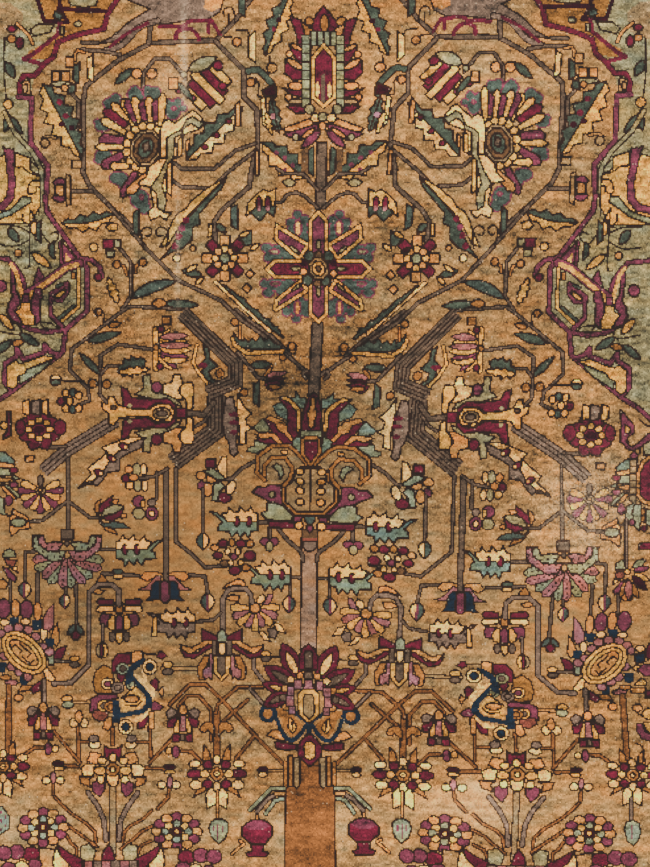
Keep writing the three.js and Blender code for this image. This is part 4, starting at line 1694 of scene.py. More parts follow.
GARDEN_SHOOTS = [
    [(54, 796), (62, 805), (72, 814), (86, 823), (95, 832), (96, 842)],
    [(67, 824), (74, 830), (84, 837), (97, 847)],
    [(66, 834), (71, 843), (77, 848), (77, 856)],
    [(152, 810), (143, 819), (130, 826), (124, 833), (123, 842)],
    [(152, 826), (141, 832), (134, 839), (121, 849)],
    [(151, 841), (141, 846), (137, 856)],
]


def garden_rosette(pen):
    """The wide rosette on a fan of stems low in the side field."""
    pen.stems([[(113, 856), (113, 786)]], 4.6, "dun", smooth=False)
    pen.stems([[(88, 792), (98, 806), (104, 820), (106, 840)],
               [(138, 792), (128, 806), (121, 820), (119, 840)]], 3.4, "mauve", smooth=False)
    pen.stems(GARDEN_SHOOTS, 1.6, "root", smooth=False)
    pen.stems(GARDEN_STALKS, 1.9, "root", smooth=False)
    p = pen.placed((113, 769), 0)
    twin_patches(p, GARDEN_PETALS)
    ovals(p, [(11, 9, 4.6, 3.8, "straw"), (13, -1, 6, 4.4, "straw"), (12, -10, 4, 4, "cream")],
          mirrored=True)
    p.patch([(-9, 25), (-4, 21), (4, 21), (9, 25), (8, 12), (4, 10), (0, 16), (-4, 10), (-8, 12)],
            "wine")
    p.patch([(-7, -5), (7, -5), (5, -14), (2, -17), (-2, -17), (-5, -14)], "cream")
    p.oval((0, 12), (4, 4.6), 0, "straw")
    p.patch(around((0, 0), (7.6, 7), 22.5, 8), "orange", line=SMALL_LINE_KNOTS)
    p.dot((0, 0), 2.8, "cream")
    ovals(pen, GARDEN_BUDS)


NAVY_BODY = [(147, 657), (138, 659), (129, 667), (126, 676), (126, 685), (131, 683), (134, 679),
             (139, 688), (145, 695), (146, 702), (142, 708), (131, 710), (121, 712), (119, 699),
             (113, 700), (113, 722), (119, 722), (121, 717), (132, 715), (144, 713), (152, 706),
             (153, 697), (148, 690), (141, 682), (134, 675), (134, 670), (140, 666)]
CREAM_BODY = [(145, 661), (142, 670), (144, 678), (138, 674), (133, 673), (140, 681), (146, 688),
              (150, 692), (153, 698), (155, 694), (155, 688), (147, 680), (146, 670), (148, 664)]
BLOSSOM_RIM = [
    ("wine", [(112, 672), (112, 660), (118, 653), (131, 652), (131, 663), (122, 665), (118, 672)]),
    ("apricot", [(132, 664), (132, 652), (136, 650), (143, 651), (143, 658), (136, 661)]),
    ("wine", [(122, 683), (117, 676), (118, 668), (124, 666), (128, 668), (125, 677)]),
    ("amber", [(96, 692), (93, 681), (96, 670), (104, 664), (112, 668), (114, 678), (118, 690),
               (108, 693)]),
    ("rose", [(90, 712), (91, 698), (99, 694), (117, 693), (119, 698), (106, 699), (100, 708)]),
    ("rust", [(92, 716), (94, 709), (108, 711), (108, 718), (100, 721)]),
    ("apricot", [(103, 727), (106, 717), (112, 716), (113, 726), (108, 730)]),
    ("wine", [(150, 681), (156, 677), (159, 681), (158, 689), (153, 690)]),
    ("rose", [(150, 704), (155, 700), (164, 706), (160, 710), (152, 709)]),
    ("apricot", [(149, 711), (154, 710), (154, 728), (149, 728)]),
    ("wine", [(138, 728), (138, 722), (143, 716), (148, 712), (149, 719), (144, 727)]),
    ("wine", [(157, 656), (159, 651), (163, 651), (167, 655), (162, 659)]),
]


def boteh_blossom(pen):
    """The navy and cream boteh with its scalloped orange, wine and rust border."""
    pen.stems([[(162, 668), (198, 668)], [(72, 702), (90, 701)]], 1.6, "gold", smooth=False)
    pen.line([(144, 653), (158, 654)])
    patches(pen, BLOSSOM_RIM, line=SMALL_LINE_KNOTS)
    for x, y, ring, heart in ((123, 668, "mist", "stem"), (108, 683, "cream", "rose"),
                              (118, 687, "mauve", "mauve"), (104, 705, "straw", "stem"),
                              (111, 706, "orange", "orange"), (132, 683, "mist", "mist")):
        ovals(pen, [
            (x, y, 6.6, 5.8, ring), (x, y, 3.4, 3, heart),
        ], line=FINE_LINE_KNOTS)
    pen.patch([(134, 684), (140, 692), (146, 700), (141, 707), (122, 711), (121, 697), (128, 692)],
              "straw", None)
    pen.line([(135, 686), (129, 691), (122, 697)])
    pen.line([(126, 704), (136, 705), (142, 700)])
    pen.oval((132, 698), (7.4, 3.8), 0, "apricot")
    pen.patch(NAVY_BODY, "navy", None)
    pen.patch(CREAM_BODY, "cream", None)
    pen.patch([(119, 718), (132, 717), (144, 714), (150, 707), (148, 714), (141, 721), (130, 720)],
              "cream", None)
    for x, y in ((150, 666), (126, 726)):
        pen.dot((x, y), 7.6, "cream", line=SMALL_LINE_KNOTS)
        pen.dot((x, y), 4.2, "navy", line=FINE_LINE_KNOTS)
    ovals(pen, [(168, 664, 5.4, 3.6, "straw"), (168, 671, 5.4, 3.4, "stem"),
                (67, 698, 5.4, 3.6, "straw"), (68, 704, 6, 3.8, "mist")])
    pen.patch([(158, 690), (163, 686), (164, 692), (162, 697)], "apricot", line=SMALL_LINE_KNOTS)


PALMETTE_EDGE = [
    (4, 608, 7, 10, "rose"), (16, 608, 4.6, 9.4, "apricot"), (27, 609, 6.4, 9.6, "rose"),
    (38, 611, 4.2, 9.6, "apricot"), (44, 633, 3.6, 6.6, "cream"), (5, 622, 5, 3.4, "cream"),
    (26, 621, 5, 3.4, "cream"), (11, 682, 7, 2.8, "pink"), (5, 677, 6, 2.8, "orange"),
]
PALMETTE_POINTS = [
    ("pink", [(43, 628), (43, 618), (48, 609), (54, 603), (54, 625), (50, 631)]),
    ("apricot", [(50, 640), (54, 628), (58, 622), (60, 640), (57, 646)]),
    ("wine", [(54, 654), (58, 648), (67, 645), (63, 657), (55, 662)]),
    ("mist", [(48, 656), (52, 651), (54, 654), (54, 664), (49, 664)]),
    ("cream", [(42, 664), (47, 666), (56, 678), (53, 682), (46, 678)]),
    ("wine", [(30, 688), (37, 682), (41, 680), (40, 690), (33, 693)]),
    ("orange", [(17, 691), (22, 684), (33, 685), (28, 690)]),
]
PALMETTE_BEADS = [(1, 633), (9, 628), (19, 627), (29, 629), (36, 636), (43, 646), (50, 651),
                  (4, 655), (11, 666), (19, 671), (28, 676)]
PALMETTE_STONES = [(15, 621), (37, 624), (50, 643), (1, 667), (24, 679)]
PALMETTE_RINGS = [(17, 27, "straw"), (12.4, 22.4, "straw"), (8, 18, "apricot")]
PALMETTE_MAZE = [[(-4, 12), (0, 12), (0, 3), (-3, 3)], [(4, 9), (4, -6), (0, -6)],
                 [(-4, -2), (-4, -12), (1, -12)]]


def round_palmette(pen):
    """The great round palmette at the outer side: ringed heart, beads and coloured petals."""
    ovals(pen, PALMETTE_EDGE)
    patches(pen, PALMETTE_POINTS, line=SMALL_LINE_KNOTS)
    for x, y in PALMETTE_STONES:
        pen.patch([(x - 5, y - 5), (x + 5, y - 5), (x + 4, y + 4), (x, y + 6), (x - 4, y + 4)],
                  "navy", None)
    for at in PALMETTE_BEADS:
        pen.patch(around(at, (4.8, 4.4)), "pink", line=SMALL_LINE_KNOTS)
    p = pen.placed((24, 652), -48)
    for width, length, wool in PALMETTE_RINGS:
        p.patch(around((0, 0), (width, length), 0, 14), wool, line=SMALL_LINE_KNOTS)
    for path in PALMETTE_MAZE:
        p.line(path, smooth=False)
    pen.stems([[(8, 686), (7, 756)]], 4.4, "root", smooth=False)
    pen.stems([[(44, 680), (44, 706)],
               [(119, 604), (119, 590), (112, 584), (98, 584), (89, 592), (89, 664), (71, 682),
                (54, 683)]], 3.2, "mauve", smooth=False)
    pen.stems([[(56, 660), (70, 661)]], 1.6, "stem")
    ovals(pen, [(75, 658, 5, 3, "straw"), (75, 664, 5, 3, "stem"), (18, 697, 4.4, 4, "apricot"),
                (102, 650, 6, 7.4, "dun"), (105, 650, 3, 7, "straw"), (102, 650, 1.8, 7, "wine")])
    for s in (-1, 1):
        pen.leaf((76, 624), (76 + s * 8, 634), 6, "slate")
    pen.dot((76, 635), 4.4, "wine")
    serrated_pair(pen, (177, 622), -1, "mauve")
    pen.stems([[(103, 624), (103, 640)]], 1.6, "mauve")
    pen.patch([(153, 618), (157, 614), (157, 636), (152, 636)], "straw", line=SMALL_LINE_KNOTS)


def ground_palmettes(pen):
    """The tops of the two palmettes that the lower edge of the picture cuts."""
    for middle, out in ((109, -1), (109, 1)):
        flip = [(middle + out * x, y) for x, y in
                [(16, 862), (13, 850), (20, 844), (28, 846), (28, 860)]]
        pen.patch(flip, "sage", line=SMALL_LINE_KNOTS)
        pen.patch([(middle + out * x, y) for x, y in
                   [(27, 880), (27, 859), (39, 853), (52, 844), (48, 856), (38, 866), (38, 880)]],
                  "wine", line=SMALL_LINE_KNOTS)
        pen.patch([(middle + out * x, y) for x, y in
                   [(39, 880), (40, 864), (48, 856), (53, 846), (56, 862), (52, 880)]],
                  "cream", line=SMALL_LINE_KNOTS)
        pen.patch([(middle + out * x, y) for x, y in
                   [(53, 880), (56, 860), (54, 849), (70, 847), (70, 862), (66, 880)]],
                  "gold", line=SMALL_LINE_KNOTS)
        for x, y, rx, ry, wool in ((78, 853, 9, 7, "wine"), (92, 851, 8, 7.4, "rose"),
                                   (105, 852, 8, 7.4, "rose"), (74, 864, 7, 6, "rose"),
                                   (87, 868, 8, 8, "cream"), (100, 869, 8, 8, "rose")):
            pen.patch(around((middle + out * x, y + (4 if out > 0 else 0)), (rx, ry)), wool,
                      line=SMALL_LINE_KNOTS)
    pen.patch([(101, 863), (103, 852), (109, 844), (113, 851), (116, 863)], "wine")
    for x in range(84, 136, 9):
        pen.patch([(x, 861), (x + 9, 861), (x + 9, 880), (x, 880)], "mauve" if x % 2 else "pink",
                  line=SMALL_LINE_KNOTS)


def bottom_rosettes(pen):
    """The rosettes and pomegranates along the bottom of the picture."""
    for x, y in ((43, 827), (177, 831)):
        bead_ring(pen, (x, y), (20, -15), (5.6, 4.8), ["rose", "apricot"], 12)
        bead_ring(pen, (x, y), (11.5, -8), (4, 3.8), ["mist", "straw"], 8)
        pen.oval((x, y), (5.4, 4.6), 0, "plum")
        pen.dot((x, y), 1.8, "straw", None)
    # Pomegranate
    pen.patch([(251, 843), (264, 843), (263, 850), (269, 852), (266, 856), (248, 856), (246, 852),
               (252, 850)], "wine")
    pen.patch([(258, 818), (266, 820), (272, 825), (272, 835), (265, 843), (251, 843), (242, 835),
               (242, 826), (250, 820)], "wine")
    pen.patch([(258, 819), (265, 821), (270, 825), (262, 829), (250, 829), (244, 826), (250, 821)],
              "rose", None)
    pen.stems([[(257, 808), (257, 817)]], 1.4, "apricot")
    # Bud with rose stripes on its stalk
    pen.stems([[(218, 790), (218, 816)]], 1.4, "apricot")
    pen.patch([(219, 843), (212, 837), (209, 828), (211, 821), (216, 818), (223, 818), (228, 822),
               (228, 831), (225, 838)], "mist")
    for x, low, high in ((214, 825, 830), (218, 824, 838), (223, 825, 830)):
        pen.line([(x, low), (x, high)], "rose", 1.6, smooth=False)
    pen.stems([[(232, 853), (239, 847), (244, 843), (240, 840)]], 1.6, "apricot")
    ground_palmettes(pen)


# What shows along the right edge and has no twin at the left, in pixels of the photograph
EDGE_PATCHES = [
    ("rose", [(620, 409), (628, 418), (634, 425), (634, 432), (627, 438), (626, 442), (631, 446),
      (638, 443), (645, 435), (654, 430), (654, 437), (641, 446), (634, 450), (627, 449), (621, 441)]),
    ("straw", [(625, 424), (630, 428), (629, 434), (625, 432)]),
    ("sage", [(643, 444), (660, 436), (660, 452), (644, 455)]),
    ("dun", [(630, 459), (637, 457), (637, 505), (630, 500)]),
    ("apricot", [(660, 452), (648, 455), (641, 461), (637, 472), (637, 496), (643, 503), (660, 508)]),
    ("wine", [(660, 457), (650, 459), (644, 464), (641, 472), (641, 494), (645, 499), (660, 503)]),
    ("mist", [(634, 505), (642, 503), (642, 519), (640, 530), (636, 527), (633, 513)]),
    ("orange", [(642, 508), (646, 507), (646, 522), (642, 521)]),
    ("mist", [(647, 508), (660, 512), (660, 530), (647, 524)]),
    ("wine", [(640, 543), (660, 541), (660, 548), (640, 549)]),
    ("mist", [(625, 830), (626, 823), (633, 820), (640, 823), (642, 832), (639, 841), (634, 846),
      (628, 841)]),
    ("straw", [(631, 667), (637, 664), (643, 666), (638, 672)]),
    ("rose", [(637, 668), (644, 663), (660, 664), (660, 675), (643, 675)]),
    ("navy", [(634, 654), (644, 652), (645, 661), (635, 663)]),
    ("straw", [(634, 684), (641, 677), (646, 681), (645, 685)]),
    ("apricot", [(630, 687), (646, 687), (643, 692), (631, 692)]),
    ("wine", [(645, 690), (660, 688), (660, 697), (645, 697)]),
    ("wine", [(645, 651), (649, 643), (660, 642), (660, 657), (647, 659)]),
    ("rose", [(637, 723), (642, 723), (645, 731), (660, 738), (660, 744), (642, 738), (637, 731)]),
    ("straw", [(643, 722), (660, 720), (660, 735), (647, 731)]),
]
EDGE_BEADS = [
    (634, 455, 3.6, 3.6, "rose"), (633, 522, 3, 3.4, "rose"), (645, 528, 3, 3, "wine"),
    (631, 650, 3.6, 4, "pink"), (640, 648, 4.4, 3.4, "cream"), (637, 707, 5, 3.6, "apricot"),
    (648, 713, 6, 5.4, "straw"),
]
EDGE_RAYS = [
    ((633, 567), (647, 559), 7, "mist"), ((634, 570), (651, 567), 6, "rose"),
    ((635, 573), (651, 580), 6, "straw"), ((630, 580), (639, 598), 7, "orange"),
    ((628, 579), (620, 597), 6, "orange"), ((629, 579), (629, 600), 8, "pink"),
    ((633, 575), (648, 590), 9, "plum"),
]
EDGE_LINES = [
    [(637, 407), (656, 424)], [(640, 420), (646, 425), (660, 428)], [(640, 441), (640, 453)],
    [(637, 712), (643, 716)], [(636, 742), (643, 746), (643, 762)],
]


def outer_edges(both):
    """A bud at the left edge, and what lies along the right edge beyond the mirror image."""
    pen = Pen(both.chart, sides=CENTRE)
    pen.patch([(-8, 804), (2, 806), (9, 815), (9, 828), (0, 834), (-8, 834)], "mist",
              line=SMALL_LINE_KNOTS)
    for x, y in ((1, 811), (5, 815), (1, 819), (5, 824), (1, 828)):
        pen.line([(x, y), (x, y + 2)], "rose", 1.6, smooth=False)
    pen.stems([[(627, 519), (627, 566)], [(632, 798), (632, 820)]], 1.8, "mauve", smooth=False)
    pen.stems([EDGE_LINES[0]], 3.2, "rose", smooth=False)
    for path in EDGE_LINES[1:]:
        pen.line(path, smooth=False)
    patches(pen, EDGE_PATCHES, line=SMALL_LINE_KNOTS)
    for y in range(466, 500, 7):
        pen.line([(630, y), (637, y)], smooth=False)
    pen.line([(633, 826), (633, 839)], "rose", 1.6, smooth=False)
    ovals(pen, EDGE_BEADS)
    rays(pen, EDGE_RAYS)
    pen.dot((628, 571), 3.2, "straw")


FIELD = (cartouche_top, cartouche_low, ring_stems, cloud_band, side_palmette, saz_leaves,
         vine_left_of_ring, branches_mid, lance_leaves, flowers_left_of_rosette, twig_leaves,
         striped_fan, trunk_top, stem_bundles, horizontal_tulip, leaf_beside_bundle, roundels,
         spotted_palmette, lily, small_field_flowers, lattice, round_palmette, garden_rosette,
         boteh_blossom, half_daisy, hanging_palmette, eight_flowers, fuchsias, bottom_rosettes,
         trunk_low, root, boteh_pair, lower_palmette, flowers_beside_vase, outer_edges,
         middle_palmette, vase, crest_leaves, top_palmette, middle_rosette)


def draw_design():
    """The chart of the whole design, each motif over those before it."""
    chart = Chart("gold")
    for motif in FIELD:
        motif(Pen(chart))
    return chart


# Wear, fading, painted light and painted shade. The fold lines, the pale arch, the rubbed patch
# and the stains are wear; the shadow, shadowed and dark hollow places are painted shade; the
# light, sheen and silky places are painted light, the silky ones with a little fading; the brown
# field is darker towards the left. x and y are the middle in pixels of the photograph, reach_x and
# reach_y the distances at which about a third is left, gain how much lighter (above 0) or darker it
# is, and fade how far the colours go towards the bare light wool.
WEAR_AND_PAINTED_LIGHT_PLACES = table(
    "name x y reach_x reach_y gain fade",
    ("fold line, upper", 184, 60, 4, 75, 0.1, 0.35),
    ("fold line, lower", 178, 240, 3, 80, 0.08, 0.3),
    ("pale arch", 168, 75, 22, 22, 0.08, 0.15),
    ("rubbed patch", 585, 505, 45, 50, 0.1, 0.3),
    # Painted sheen, with a little fading
    ("silky patch", 460, 805, 45, 30, 0.12, 0.05),
    # Painted shade
    ("shadowed middle", 285, 395, 70, 50, -0.28, 0),
    ("dark hollow", 290, 380, 28, 24, -0.24, 0),
    # Darker towards the left of the field
    ("brown field", 110, 395, 100, 50, -0.14, 0),
    # Painted light
    ("light top", 400, 90, 110, 50, 0.12, 0),
    ("light corner", 205, 25, 60, 25, 0.1, 0),
    # Painted shade
    ("left shadow", 50, 295, 90, 48, -0.19, 0),
    ("shadow under the rosette", 352, 320, 40, 75, -0.14, 0),
    ("lower left shadow", 115, 600, 120, 70, -0.2, 0),
    ("lower middle shadow", 260, 450, 60, 70, -0.08, 0),
    ("right edge shadow", 625, 355, 40, 40, -0.14, 0),
    ("lower right edge shadow", 630, 680, 40, 50, -0.14, 0),
    # Painted light and painted sheen
    ("light right", 520, 650, 90, 70, 0.09, 0),
    ("sheen beside the stem", 450, 350, 40, 40, 0.1, 0),
    ("light foot", 30, 835, 70, 35, 0.14, 0),
    ("light foot, right", 400, 835, 130, 40, 0.09, 0),
    ("light head", 325, 70, 420, 110, 0.08, 0),
    ("light lower edge", 325, 860, 420, 90, 0.13, 0),
    # Painted sheen, with some fading
    ("silky streak", 480, 804, 36, 20, 0.26, 0.12),
    ("stain", 344, 8, 9, 6, -0.25, 0),
    ("stain", 398, 26, 7, 6, -0.2, 0),
)
BARE_WOOL = (222, 196, 158)

# Unevenness of the tone and of the warmth: its share, and the knots across one swell of it down
# and across the rug. Dye lots and packing of the wefts make the wide, shallow streaks.
TONE_NOISE = [(0.05, (60, 120)), (0.07, (14, 200)), (0.14, (3, 36)), (0.12, (6, 11)), (0.25, (2, 4))]
WARMTH_NOISE = [(0.06, (45, 60)), (0.06, (8, 22)), (0.05, (3, 6))]
KNOT_NOISE = 0.15
NOISE_SPREAD = 0.6

# The warmth shows in the wools lighter than this, and takes more from the blue than it adds to
# the red
LIGHT_WOOL = 90
BLUE_SHARE = 1.6

# Faded wool: how uneven it is and the most of it, and the share and paleness of bare tips
FADE_UNEVEN = 0.5
MOST_FADED = 0.75
BARE_TIPS = 0.003
BARE_TIP_SHARE = 0.5

# Where the pile is smoother (below 0) or rougher than elsewhere, in pixels of the photograph
ROUGHER_PLACES = table(
    "name x y reach_x reach_y gain",
    ("smooth middle", 150, 545, 240, 150, -0.6),
    ("smooth right", 570, 630, 100, 45, -0.5),
    ("rubbed patch", 595, 505, 60, 50, 0.6),
    ("rough left", 80, 240, 120, 90, 0.15),
)


def soft_noise(rng, cell_rows, cell_columns):
    """A smooth random field over the knots, mostly from -1 to 1."""
    coarse = rng.normal(0, NOISE_SPREAD,
                        (int(ROWS / cell_rows) + 3, int(COLUMNS / cell_columns) + 3))
    row = np.arange(ROWS) / cell_rows
    column = np.arange(COLUMNS) / cell_columns
    r0, c0 = row.astype(int), column.astype(int)
    tr = (0.5 - 0.5 * np.cos(np.pi * (row - r0)))[:, None]
    tc = (0.5 - 0.5 * np.cos(np.pi * (column - c0)))[None, :]
    top = coarse[r0][:, c0] * (1 - tc) + coarse[r0][:, c0 + 1] * tc
    low = coarse[r0 + 1][:, c0] * (1 - tc) + coarse[r0 + 1][:, c0 + 1] * tc
    return top * (1 - tr) + low * tr


def knot_pixels():
    """Photo x of each column and photo y of each row."""
    pixels_per_knot = KNOT_MM / MM_PER_PIXEL
    x = (np.arange(COLUMNS) + 0.5 - COLUMNS / 2) * pixels_per_knot + PHOTO_WIDTH / 2
    y = (np.arange(ROWS) + 0.5 - ROWS / 2) * pixels_per_knot + PHOTO_HEIGHT / 2
    return x[None, :], y[:, None]


def closeness(place, x, y):
    """How close points are to the middle of a place: 1 there, and 0 far off."""
    return np.exp(-(((x - place["x"]) / place["reach_x"]) ** 2)
                  - ((y - place["y"]) / place["reach_y"]) ** 2)


def dye_and_painted_light(chart, rng):
    """sRGB colour from 0 to 255 of every knot: wool, unevenly dyed batches, wear, painted light and shade,
    and bare tips.
    """
    x, y = knot_pixels()
    colours = np.array([WOOLS[name] for name in WOOL_NAMES], float)[chart.knots]
    is_light = colours.mean(-1) > LIGHT_WOOL
    level = sum(share * soft_noise(rng, *size) for share, size in TONE_NOISE)
    level += KNOT_NOISE * rng.normal(0, 1, (ROWS, COLUMNS))
    warmth = sum(share * soft_noise(rng, *size) for share, size in WARMTH_NOISE)
    level = level * (1 + sum(place["gain"] * closeness(place, x, y) for place in ROUGHER_PLACES))
    fade = np.zeros((ROWS, COLUMNS))
    # Wear and fading, and painted light and painted shade from the lit and shaded places
    for place in WEAR_AND_PAINTED_LIGHT_PLACES:
        level = level + place["gain"] * closeness(place, x, y)
        fade = fade + place["fade"] * closeness(place, x, y)
    shift = np.stack([warmth, np.zeros_like(warmth), -BLUE_SHARE * warmth], -1)
    colours = colours * (1 + level[..., None]) * (1 + np.where(is_light[..., None], shift, 0))
    fade = fade * (1 + FADE_UNEVEN * rng.normal(0, 1, fade.shape))
    fade = np.clip(fade, 0, MOST_FADED)[..., None]
    colours = colours * (1 - fade) + np.array(BARE_WOOL) * fade
    bare = rng.random((ROWS, COLUMNS)) < BARE_TIPS
    colours[bare] = (1 - BARE_TIP_SHARE) * colours[bare] + BARE_TIP_SHARE * np.array(BARE_WOOL)
    return np.clip(colours, 0, 255)


# The cloth, in millimetres, as in the CAD
GROUND_MM = 2.0
PILE_MM = 4.0
EDGE_WANDER_MM = 1.0
EDGE_WAVE_MM = 310
EDGE_WANDER_POWER = 5
EDGE_FALL_MM = 1.6
EDGE_FALL_REACH_MM = 14
SWELL_MM = 0.3
SWELL_WAVE_X_MM = 265
SWELL_WAVE_Y_MM = 340
WORN_PLACES = table(
    "x y reach_x reach_y loss",
    (-165, 300, 20, 190, 0.7),
    (285, -135, 60, 75, 0.8),
    (235, -420, 70, 30, 0.5),
)
TUFT_UNEVEN_MM = 0.07
INK_SUNK_MM = 0.3
SKIRT_SUNK_MM = 0.1
BAND_COUNT = 4
BACK_CELL_KNOTS = 2
BACK_SHADE = 0.92
BACK_RIB_MM = 0.12
COTTON = (212, 196, 166)
SEED = 11

# Tufts and thread ends along the cut edges, in millimetres. base is how high the root of one
# starts and ends, and tip how high its end is. A tip is narrower than its root.
EDGE_STUBS = table(
    "name base tip reach width",
    ("edge_tufts", (2.1, 3.2), GROUND_MM + PILE_MM - EDGE_FALL_MM, 1.4, 1.5),
    ("thread_ends", (0.5, 1.5), 1.5, 1.0, 0.8),
)
STUB_INSET_MM = 0.8
STUB_ROOT_MM = 0.6
STUB_THICKNESS_MM = 0.9
STUB_SHORTEST_SHARE = 0.4
STUB_SLIDE_MM = 0.3
STUB_UNEVEN_MM = 0.25
ROOT_WIDTH_PART = 2
TIP_WIDTH_PART = 3
LOWEST_TIP_MM = 0.15
STUB_CORNERS = ((-1, 0), (1, 0), (1, 1), (-1, 1))
STUB_SIDES = np.array([[0, 1, 5, 4], [1, 2, 6, 5], [2, 3, 7, 6], [3, 0, 4, 7], [4, 5, 6, 7],
                       [3, 2, 1, 0]])

# The wools: fibres for each metre, their relief and their sheen
PILE_LOOK = {"noise_scale": 700, "bump_mm": 0.5, "sheen": 0.2}
GROUND_LOOK = {"noise_scale": 900, "bump_mm": 0.3, "sheen": 0.05}
FIBRE_DARKEST = 0.72
FIBRE_LIGHTEST = 1.28
FIBRE_DETAIL = 3.0
FIBRE_BUMP = 0.6
WOOL_ROUGHNESS = 0.78
WOOL_SPECULAR = 0.22
SHEEN_ROUGHNESS = 0.5
SHEEN_TINT = (1.0, 0.9, 0.75, 1.0)


def cut_outline(x, y):
    """Moves points of the plan as the uneven cut of the edges does."""
    wander = EDGE_WANDER_MM * (np.sin(2 * np.pi * (x + y) / EDGE_WAVE_MM) - 1)
    moved_x = x + wander * (2 * x / RUG_WIDTH_MM) ** EDGE_WANDER_POWER
    moved_y = y + wander * (2 * y / RUG_LENGTH_MM) ** EDGE_WANDER_POWER
    return moved_x, moved_y


def pile_height(x, y):
    """Height of the sheared pile above the floor."""
    height = GROUND_MM + PILE_MM
    height = height + (SWELL_MM * np.sin(2 * np.pi * x / SWELL_WAVE_X_MM)
                       * np.cos(2 * np.pi * y / SWELL_WAVE_Y_MM))
    for place in WORN_PLACES:
        height = height - place["loss"] * closeness(place, x, y)
    inset = np.minimum(RUG_WIDTH_MM / 2 - np.abs(x), RUG_LENGTH_MM / 2 - np.abs(y))
    share = np.maximum(0, 1 - inset / EDGE_FALL_REACH_MM)
    return height - EDGE_FALL_MM * share**2


def linear(colours):
    """Linear colour from sRGB values of 0 to 255."""
    c = np.asarray(colours, float) / 255
    return np.where(c <= 0.04045, c / 12.92, ((c + 0.055) / 1.055) ** 2.4)


def new_piece(name, points_mm, faces, material):
    """A piece of the rug from points in millimetres, riding on the one body."""
    mesh = bpy.data.meshes.new(name)
    mesh.from_pydata((np.asarray(points_mm) / 1000).tolist(), [], faces)
    mesh.materials.append(material)
    piece = bpy.data.objects.new(name, mesh)
    bpy.context.scene.collection.objects.link(piece)
    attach(piece, "root")
    return piece


def paint(piece, face_colours):
    """Stores one linear colour for each face as the attribute that the materials read."""
    mesh = piece.data
    layer = mesh.color_attributes.new("dye_and_painted_light", "FLOAT_COLOR", "CORNER")
    counts = np.zeros(len(mesh.polygons), int)
    mesh.polygons.foreach_get("loop_total", counts)
    rgb = np.repeat(face_colours, counts, axis=0)
    rgba = np.column_stack([rgb, np.ones(len(rgb))])
    layer.data.foreach_set("color", rgba.ravel())


def grid_faces(rows, columns):
    """Quads of a grid of points, counter-clockwise from above where rows run down."""
    corner = np.arange(rows * columns).reshape(rows, columns)
    quads = np.stack([corner[1:, :-1], corner[1:, 1:], corner[:-1, 1:], corner[:-1, :-1]], -1)
    return quads.reshape(-1, 4)


def pile_bands(chart, colours, material, rng):
    """The pile in bands: one face for each knot, and a skirt down to the ground weave."""
    x = -RUG_WIDTH_MM / 2 + KNOT_MM * np.arange(COLUMNS + 1)[None, :]
    y = RUG_LENGTH_MM / 2 - KNOT_MM * np.arange(ROWS + 1)[:, None]
    x, y = np.broadcast_arrays(x, y)
    z = pile_height(x, y) + TUFT_UNEVEN_MM * rng.normal(0, 1, x.shape)
    dark = np.pad(chart.knots == WOOL_NUMBER["ink"], 1, mode="edge")
    around_ink = dark[:-1, :-1] | dark[1:, :-1] | dark[:-1, 1:] | dark[1:, 1:]
    z = z - INK_SUNK_MM * around_ink
    plan_x, plan_y = cut_outline(x, y)
    points = np.stack([plan_x, plan_y, z], -1)
    points = np.pad(points, ((1, 1), (1, 1), (0, 0)), mode="edge")
    skirt = np.ones(points.shape[:2], bool)
    skirt[1:-1, 1:-1] = False
    points[skirt, 2] = GROUND_MM - SKIRT_SUNK_MM
    face_colours = np.pad(linear(colours), ((1, 1), (1, 1), (0, 0)), mode="edge")
    cuts = np.linspace(0, ROWS + 2, BAND_COUNT + 1).astype(int)
    bands = []
    for number, (first, last) in enumerate(zip(cuts, cuts[1:])):
        band_points = points[first:last + 1].reshape(-1, 3)
        faces = grid_faces(last + 1 - first, COLUMNS + 3)
        band = new_piece(f"pile_band_{number + 1}", band_points, faces.tolist(), material)
        paint(band, face_colours[first:last].reshape(-1, 3))
        bands.append(band)
    return bands


def ground_weave(colours, material):
    """The closed ground weave, with the backs of the knots showing on its underside."""
    step = BACK_CELL_KNOTS
    columns = COLUMNS // step
    rows = ROWS // step
    x = np.linspace(-RUG_WIDTH_MM / 2, RUG_WIDTH_MM / 2, columns + 1)[None, :]
    y = np.linspace(RUG_LENGTH_MM / 2, -RUG_LENGTH_MM / 2, rows + 1)[:, None]
    x, y = np.broadcast_arrays(x, y)
    plan_x, plan_y = cut_outline(x, y)
    rib = BACK_RIB_MM * (np.arange(rows + 1)[:, None] % 2) * np.ones((1, columns + 1))
    under = np.stack([plan_x, plan_y, rib], -1).reshape(-1, 3)
    corner = np.arange((rows + 1) * (columns + 1)).reshape(rows + 1, columns + 1)
    rim = np.concatenate([corner[0, :-1], corner[:-1, -1], corner[-1, :0:-1], corner[:0:-1, 0]])
    above = under[rim] + [0, 0, GROUND_MM]
    above[:, 2] = GROUND_MM
    top = len(under) + np.arange(len(rim))
    faces = grid_faces(rows + 1, columns + 1)[:, ::-1].tolist()
    walls = np.stack([rim, np.roll(rim, -1), np.roll(top, -1), top], -1)[:, ::-1]
    faces += walls.tolist()
    faces.append(top[::-1].tolist())
    piece = new_piece("ground_weave", np.vstack([under, above]), faces, material)
    picked = linear(colours)[step // 2::step, step // 2::step][:rows, :columns].reshape(-1, 3)
    cotton = np.tile(linear(COTTON), (len(walls) + 1, 1))
    paint(piece, np.vstack([picked, cotton]))
    return piece


